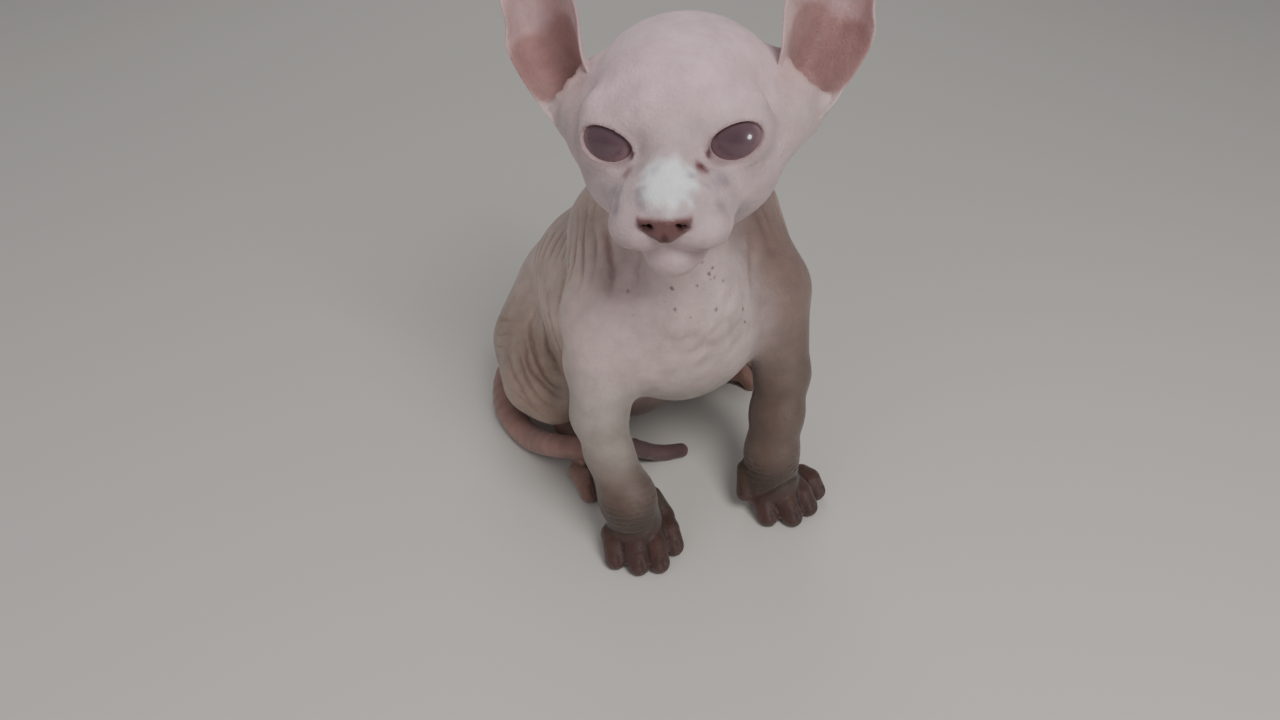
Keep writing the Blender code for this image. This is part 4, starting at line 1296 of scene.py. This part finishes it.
def make_eyeball(side):
    """A ball whose poles lie along the gaze, with how far off the gaze each point is as attributes."""
    gaze = Matrix.Rotation(radians(side * 5.0), 4, "Z") @ Matrix.Rotation(radians(90 - 7.0), 4, "X")
    bm = bmesh.new()
    bmesh.ops.create_uvsphere(bm, u_segments=64, v_segments=48, radius=EYE_RADIUS)
    name = "eyeball_left" if side > 0 else "eyeball_right"
    mesh = bpy.data.meshes.new(name)
    bm.to_mesh(mesh)
    bm.free()
    points = points_of(mesh)
    off_axis = np.degrees(np.arccos(np.clip(points[:, 2] / EYE_RADIUS, -1, 1))) / 90
    outward = points[:, :2] / np.maximum(lengths(points[:, :2])[:, None], 1e-6)
    spoke = np.hstack((outward, 0.12 * off_axis[:, None]))
    mesh.attributes.new("off_axis", "FLOAT", "POINT").data.foreach_set("value", off_axis)
    mesh.attributes.new("spoke", "FLOAT_VECTOR", "POINT").data.foreach_set("vector", spoke.ravel())
    centre = Matrix.Translation((side * EYE_SPACING / 2, EYE_DEPTH, -0.3))
    mesh.transform(HEAD.matrix @ centre @ gaze)
    place(mesh)
    return new_object(name, mesh)


# Where each claw comes out above its toe's tip, which way it points, and its size
CLAW_LENGTH = 2.5
CLAW_RADIUS = 0.7


def claw_places():
    """A point and a direction for each claw, from the toes' tips."""
    spots = []
    aims = []
    paws = (RIGHT_PAW_TOES, LEFT_PAW_TOES, RIGHT_HIND_TOES, LEFT_HIND_TOES)
    for toe in [toe for paw in paws for toe in paw]:
        knuckle, tip = (np.array((*end, 0.0)) for end in toe)
        forward = (tip - knuckle) / np.linalg.norm(tip - knuckle)
        spots.append(tip + forward * (TOE_RADIUS - 1.9) + (0, 0, 4.4))
        aims.append(forward + (0, 0, -0.75))
    return np.array(spots), np.array(aims)


def claw_tree(finish):
    """Geometry nodes that stand one horn cone on every point, along the point's aim."""
    tree = bpy.data.node_groups.new("claws", "GeometryNodeTree")
    tree.interface.new_socket("Geometry", in_out="INPUT", socket_type="NodeSocketGeometry")
    for name in ("Length", "Radius", "Tip radius"):
        tree.interface.new_socket(name, in_out="INPUT", socket_type="NodeSocketFloat")
    tree.interface.new_socket("Geometry", in_out="OUTPUT", socket_type="NodeSocketGeometry")
    given = tree.nodes.new("NodeGroupInput")
    result = tree.nodes.new("NodeGroupOutput")
    cone = tree.nodes.new("GeometryNodeMeshCone")
    cone.inputs["Vertices"].default_value = 10
    cone.inputs["Side Segments"].default_value = 4
    tree.links.new(given.outputs["Length"], cone.inputs["Depth"])
    tree.links.new(given.outputs["Radius"], cone.inputs["Radius Bottom"])
    tree.links.new(given.outputs["Tip radius"], cone.inputs["Radius Top"])
    aim = tree.nodes.new("GeometryNodeInputNamedAttribute")
    aim.data_type = "FLOAT_VECTOR"
    aim.inputs["Name"].default_value = "aim"
    turn = tree.nodes.new("FunctionNodeAlignRotationToVector")
    turn.axis = "Z"
    tree.links.new(aim.outputs["Attribute"], turn.inputs["Vector"])
    stand = tree.nodes.new("GeometryNodeInstanceOnPoints")
    tree.links.new(given.outputs["Geometry"], stand.inputs["Points"])
    tree.links.new(cone.outputs["Mesh"], stand.inputs["Instance"])
    tree.links.new(turn.outputs["Rotation"], stand.inputs["Rotation"])
    real = tree.nodes.new("GeometryNodeRealizeInstances")
    tree.links.new(stand.outputs["Instances"], real.inputs["Geometry"])
    coat = tree.nodes.new("GeometryNodeSetMaterial")
    coat.inputs["Material"].default_value = finish
    tree.links.new(real.outputs["Geometry"], coat.inputs["Geometry"])
    tree.links.new(coat.outputs["Geometry"], result.inputs["Geometry"])
    return tree


def make_claws():
    spots, aims = claw_places()
    mesh = bpy.data.meshes.new("claws")
    mesh.from_pydata(((spots - MIDDLE) * MM).tolist(), [], [])
    mesh.attributes.new("aim", "FLOAT_VECTOR", "POINT").data.foreach_set("vector", aims.ravel())
    claws = new_object("claws", mesh)
    finish = claw_material()
    grow = claws.modifiers.new("Claws", "NODES")
    grow.node_group = claw_tree(finish)
    sizes = {"Length": CLAW_LENGTH * MM, "Radius": CLAW_RADIUS * MM, "Tip radius": 0.12 * MM}
    for item in grow.node_group.interface.items_tree:
        if item.in_out == "INPUT" and item.name in sizes:
            grow[item.identifier] = sizes[item.name]
    applied(claws)
    claws.data.shade_smooth()
    return claws


def claw_material():
    """Pale horn, darker and pinker where the quick shows through."""
    material, tree, shader = node_tree("claw horn")
    place_node = tree.nodes.new("ShaderNodeTexCoord")
    streaks = tree.nodes.new("ShaderNodeTexNoise")
    streaks.inputs["Scale"].default_value = 1400
    tree.links.new(place_node.outputs["Object"], streaks.inputs["Vector"])
    tint = tree.nodes.new("ShaderNodeValToRGB")
    stops_on(tint.color_ramp, [(0.3, linear(96, 72, 64)), (0.7, linear(132, 108, 96))])
    tree.links.new(streaks.outputs["Fac"], tint.inputs["Fac"])
    tree.links.new(tint.outputs["Color"], shader.inputs["Base Color"])
    shader.inputs["Roughness"].default_value = 0.3
    shader.inputs["Coat Weight"].default_value = 0.2
    return material


def plain(name, colour, roughness):
    material, tree, shader = node_tree(name)
    shader.inputs["Base Color"].default_value = (*colour, 1)
    shader.inputs["Roughness"].default_value = roughness
    return material


def make_floor():
    bm = bmesh.new()
    bmesh.ops.create_grid(bm, x_segments=1, y_segments=1, size=4)
    mesh = bpy.data.meshes.new("floor")
    bm.to_mesh(mesh)
    bm.free()
    floor = new_object("floor", mesh)
    floor.data.materials.append(plain("pale floor", linear(206, 202, 196), 0.8))


def area_light(name, place_m, target_m, size, power, colour, seen_in_gloss=True, lights_up=True):
    light = bpy.data.objects.new(name, bpy.data.lights.new(name, "AREA"))
    light.data.shape = "DISK"
    light.data.size = size
    light.visible_glossy = seen_in_gloss
    light.visible_diffuse = lights_up
    light.data.energy = power
    light.data.color = colour
    light.location = place_m
    aim = Vector(target_m) - Vector(place_m)
    light.rotation_euler = aim.to_track_quat("-Z", "Y").to_euler()
    bpy.context.scene.collection.objects.link(light)


def make_studio():
    camera = bpy.data.objects.new("camera", bpy.data.cameras.new("camera"))
    camera.data.lens = CAMERA_LENS
    camera.data.sensor_width = 36
    camera.data.clip_start = 0.01
    camera.location = (CAMERA_PLACE - MIDDLE) * MM
    camera.rotation_euler = (radians(90 - CAMERA_PITCH), 0, radians(CAMERA_TURN))
    bpy.context.scene.collection.objects.link(camera)
    bpy.context.scene.camera = camera
    target = (-0.02, -0.03, 0.12)
    area_light("key", (-0.03, -0.50, 0.60), target, 0.30, 3.3, (1.0, 0.97, 0.95), seen_in_gloss=False)
    area_light("fill", (-0.9, -0.5, 0.5), target, 0.8, 2.0, (0.95, 0.97, 1.0), seen_in_gloss=False)
    area_light("back", (0.3, 0.9, 0.8), target, 0.6, 2.0, (1.0, 0.98, 0.96), seen_in_gloss=False)
    area_light("window", (0.244, -0.94, 0.23), (-0.018, -0.08, 0.167), 0.2, 2.6, (1, 1, 1), True, False)
    world = bpy.data.worlds.new("studio")
    bpy.context.scene.world = world
    world.use_nodes = True
    sky = world.node_tree.nodes["Background"]
    sky.inputs["Color"].default_value = (0.75, 0.76, 0.78, 1)
    sky.inputs["Strength"].default_value = 0.36


def main():
    for obj in list(bpy.data.objects):
        bpy.data.objects.remove(obj, do_unlink=True)
    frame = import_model()

    skin = make_skin()
    set_points(skin.data, softened(skin))
    points = points_of(skin.data)
    creasing = np.abs(all_folds(points, HEAD.local(points))) + single_grooves(points) > 0.04
    creasing |= slit_depth(points) > 0.05
    finer_where(skin, creasing, longest=0.62)
    set_points(skin.data, creased(skin))
    triangles = sum(len(face.vertices) - 2 for face in skin.data.polygons)
    if triangles > SKIN_TRIANGLES:
        fewer = skin.modifiers.new("Fewer faces", "DECIMATE")
        fewer.ratio = SKIN_TRIANGLES / triangles
        applied(skin)
    paint(skin.data, skin_tones(points_of(skin.data), normals_of(skin.data)))
    place(skin.data)
    skin.data.materials.clear()
    skin.data.materials.append(skin_material())
    eye_finish = eye_material()
    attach(skin, "root")
    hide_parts(*[name for name in frame["nodes"] if not name.startswith("eye")])
    for side, name in ((-1, "right"), (1, "left")):
        eyeball = make_eyeball(side)
        eyeball.data.materials.append(eye_finish)
        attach(eyeball, "root")
        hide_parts("eye_" + name)
    claws = make_claws()
    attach(claws, "root")
    make_floor()
    make_studio()


main()
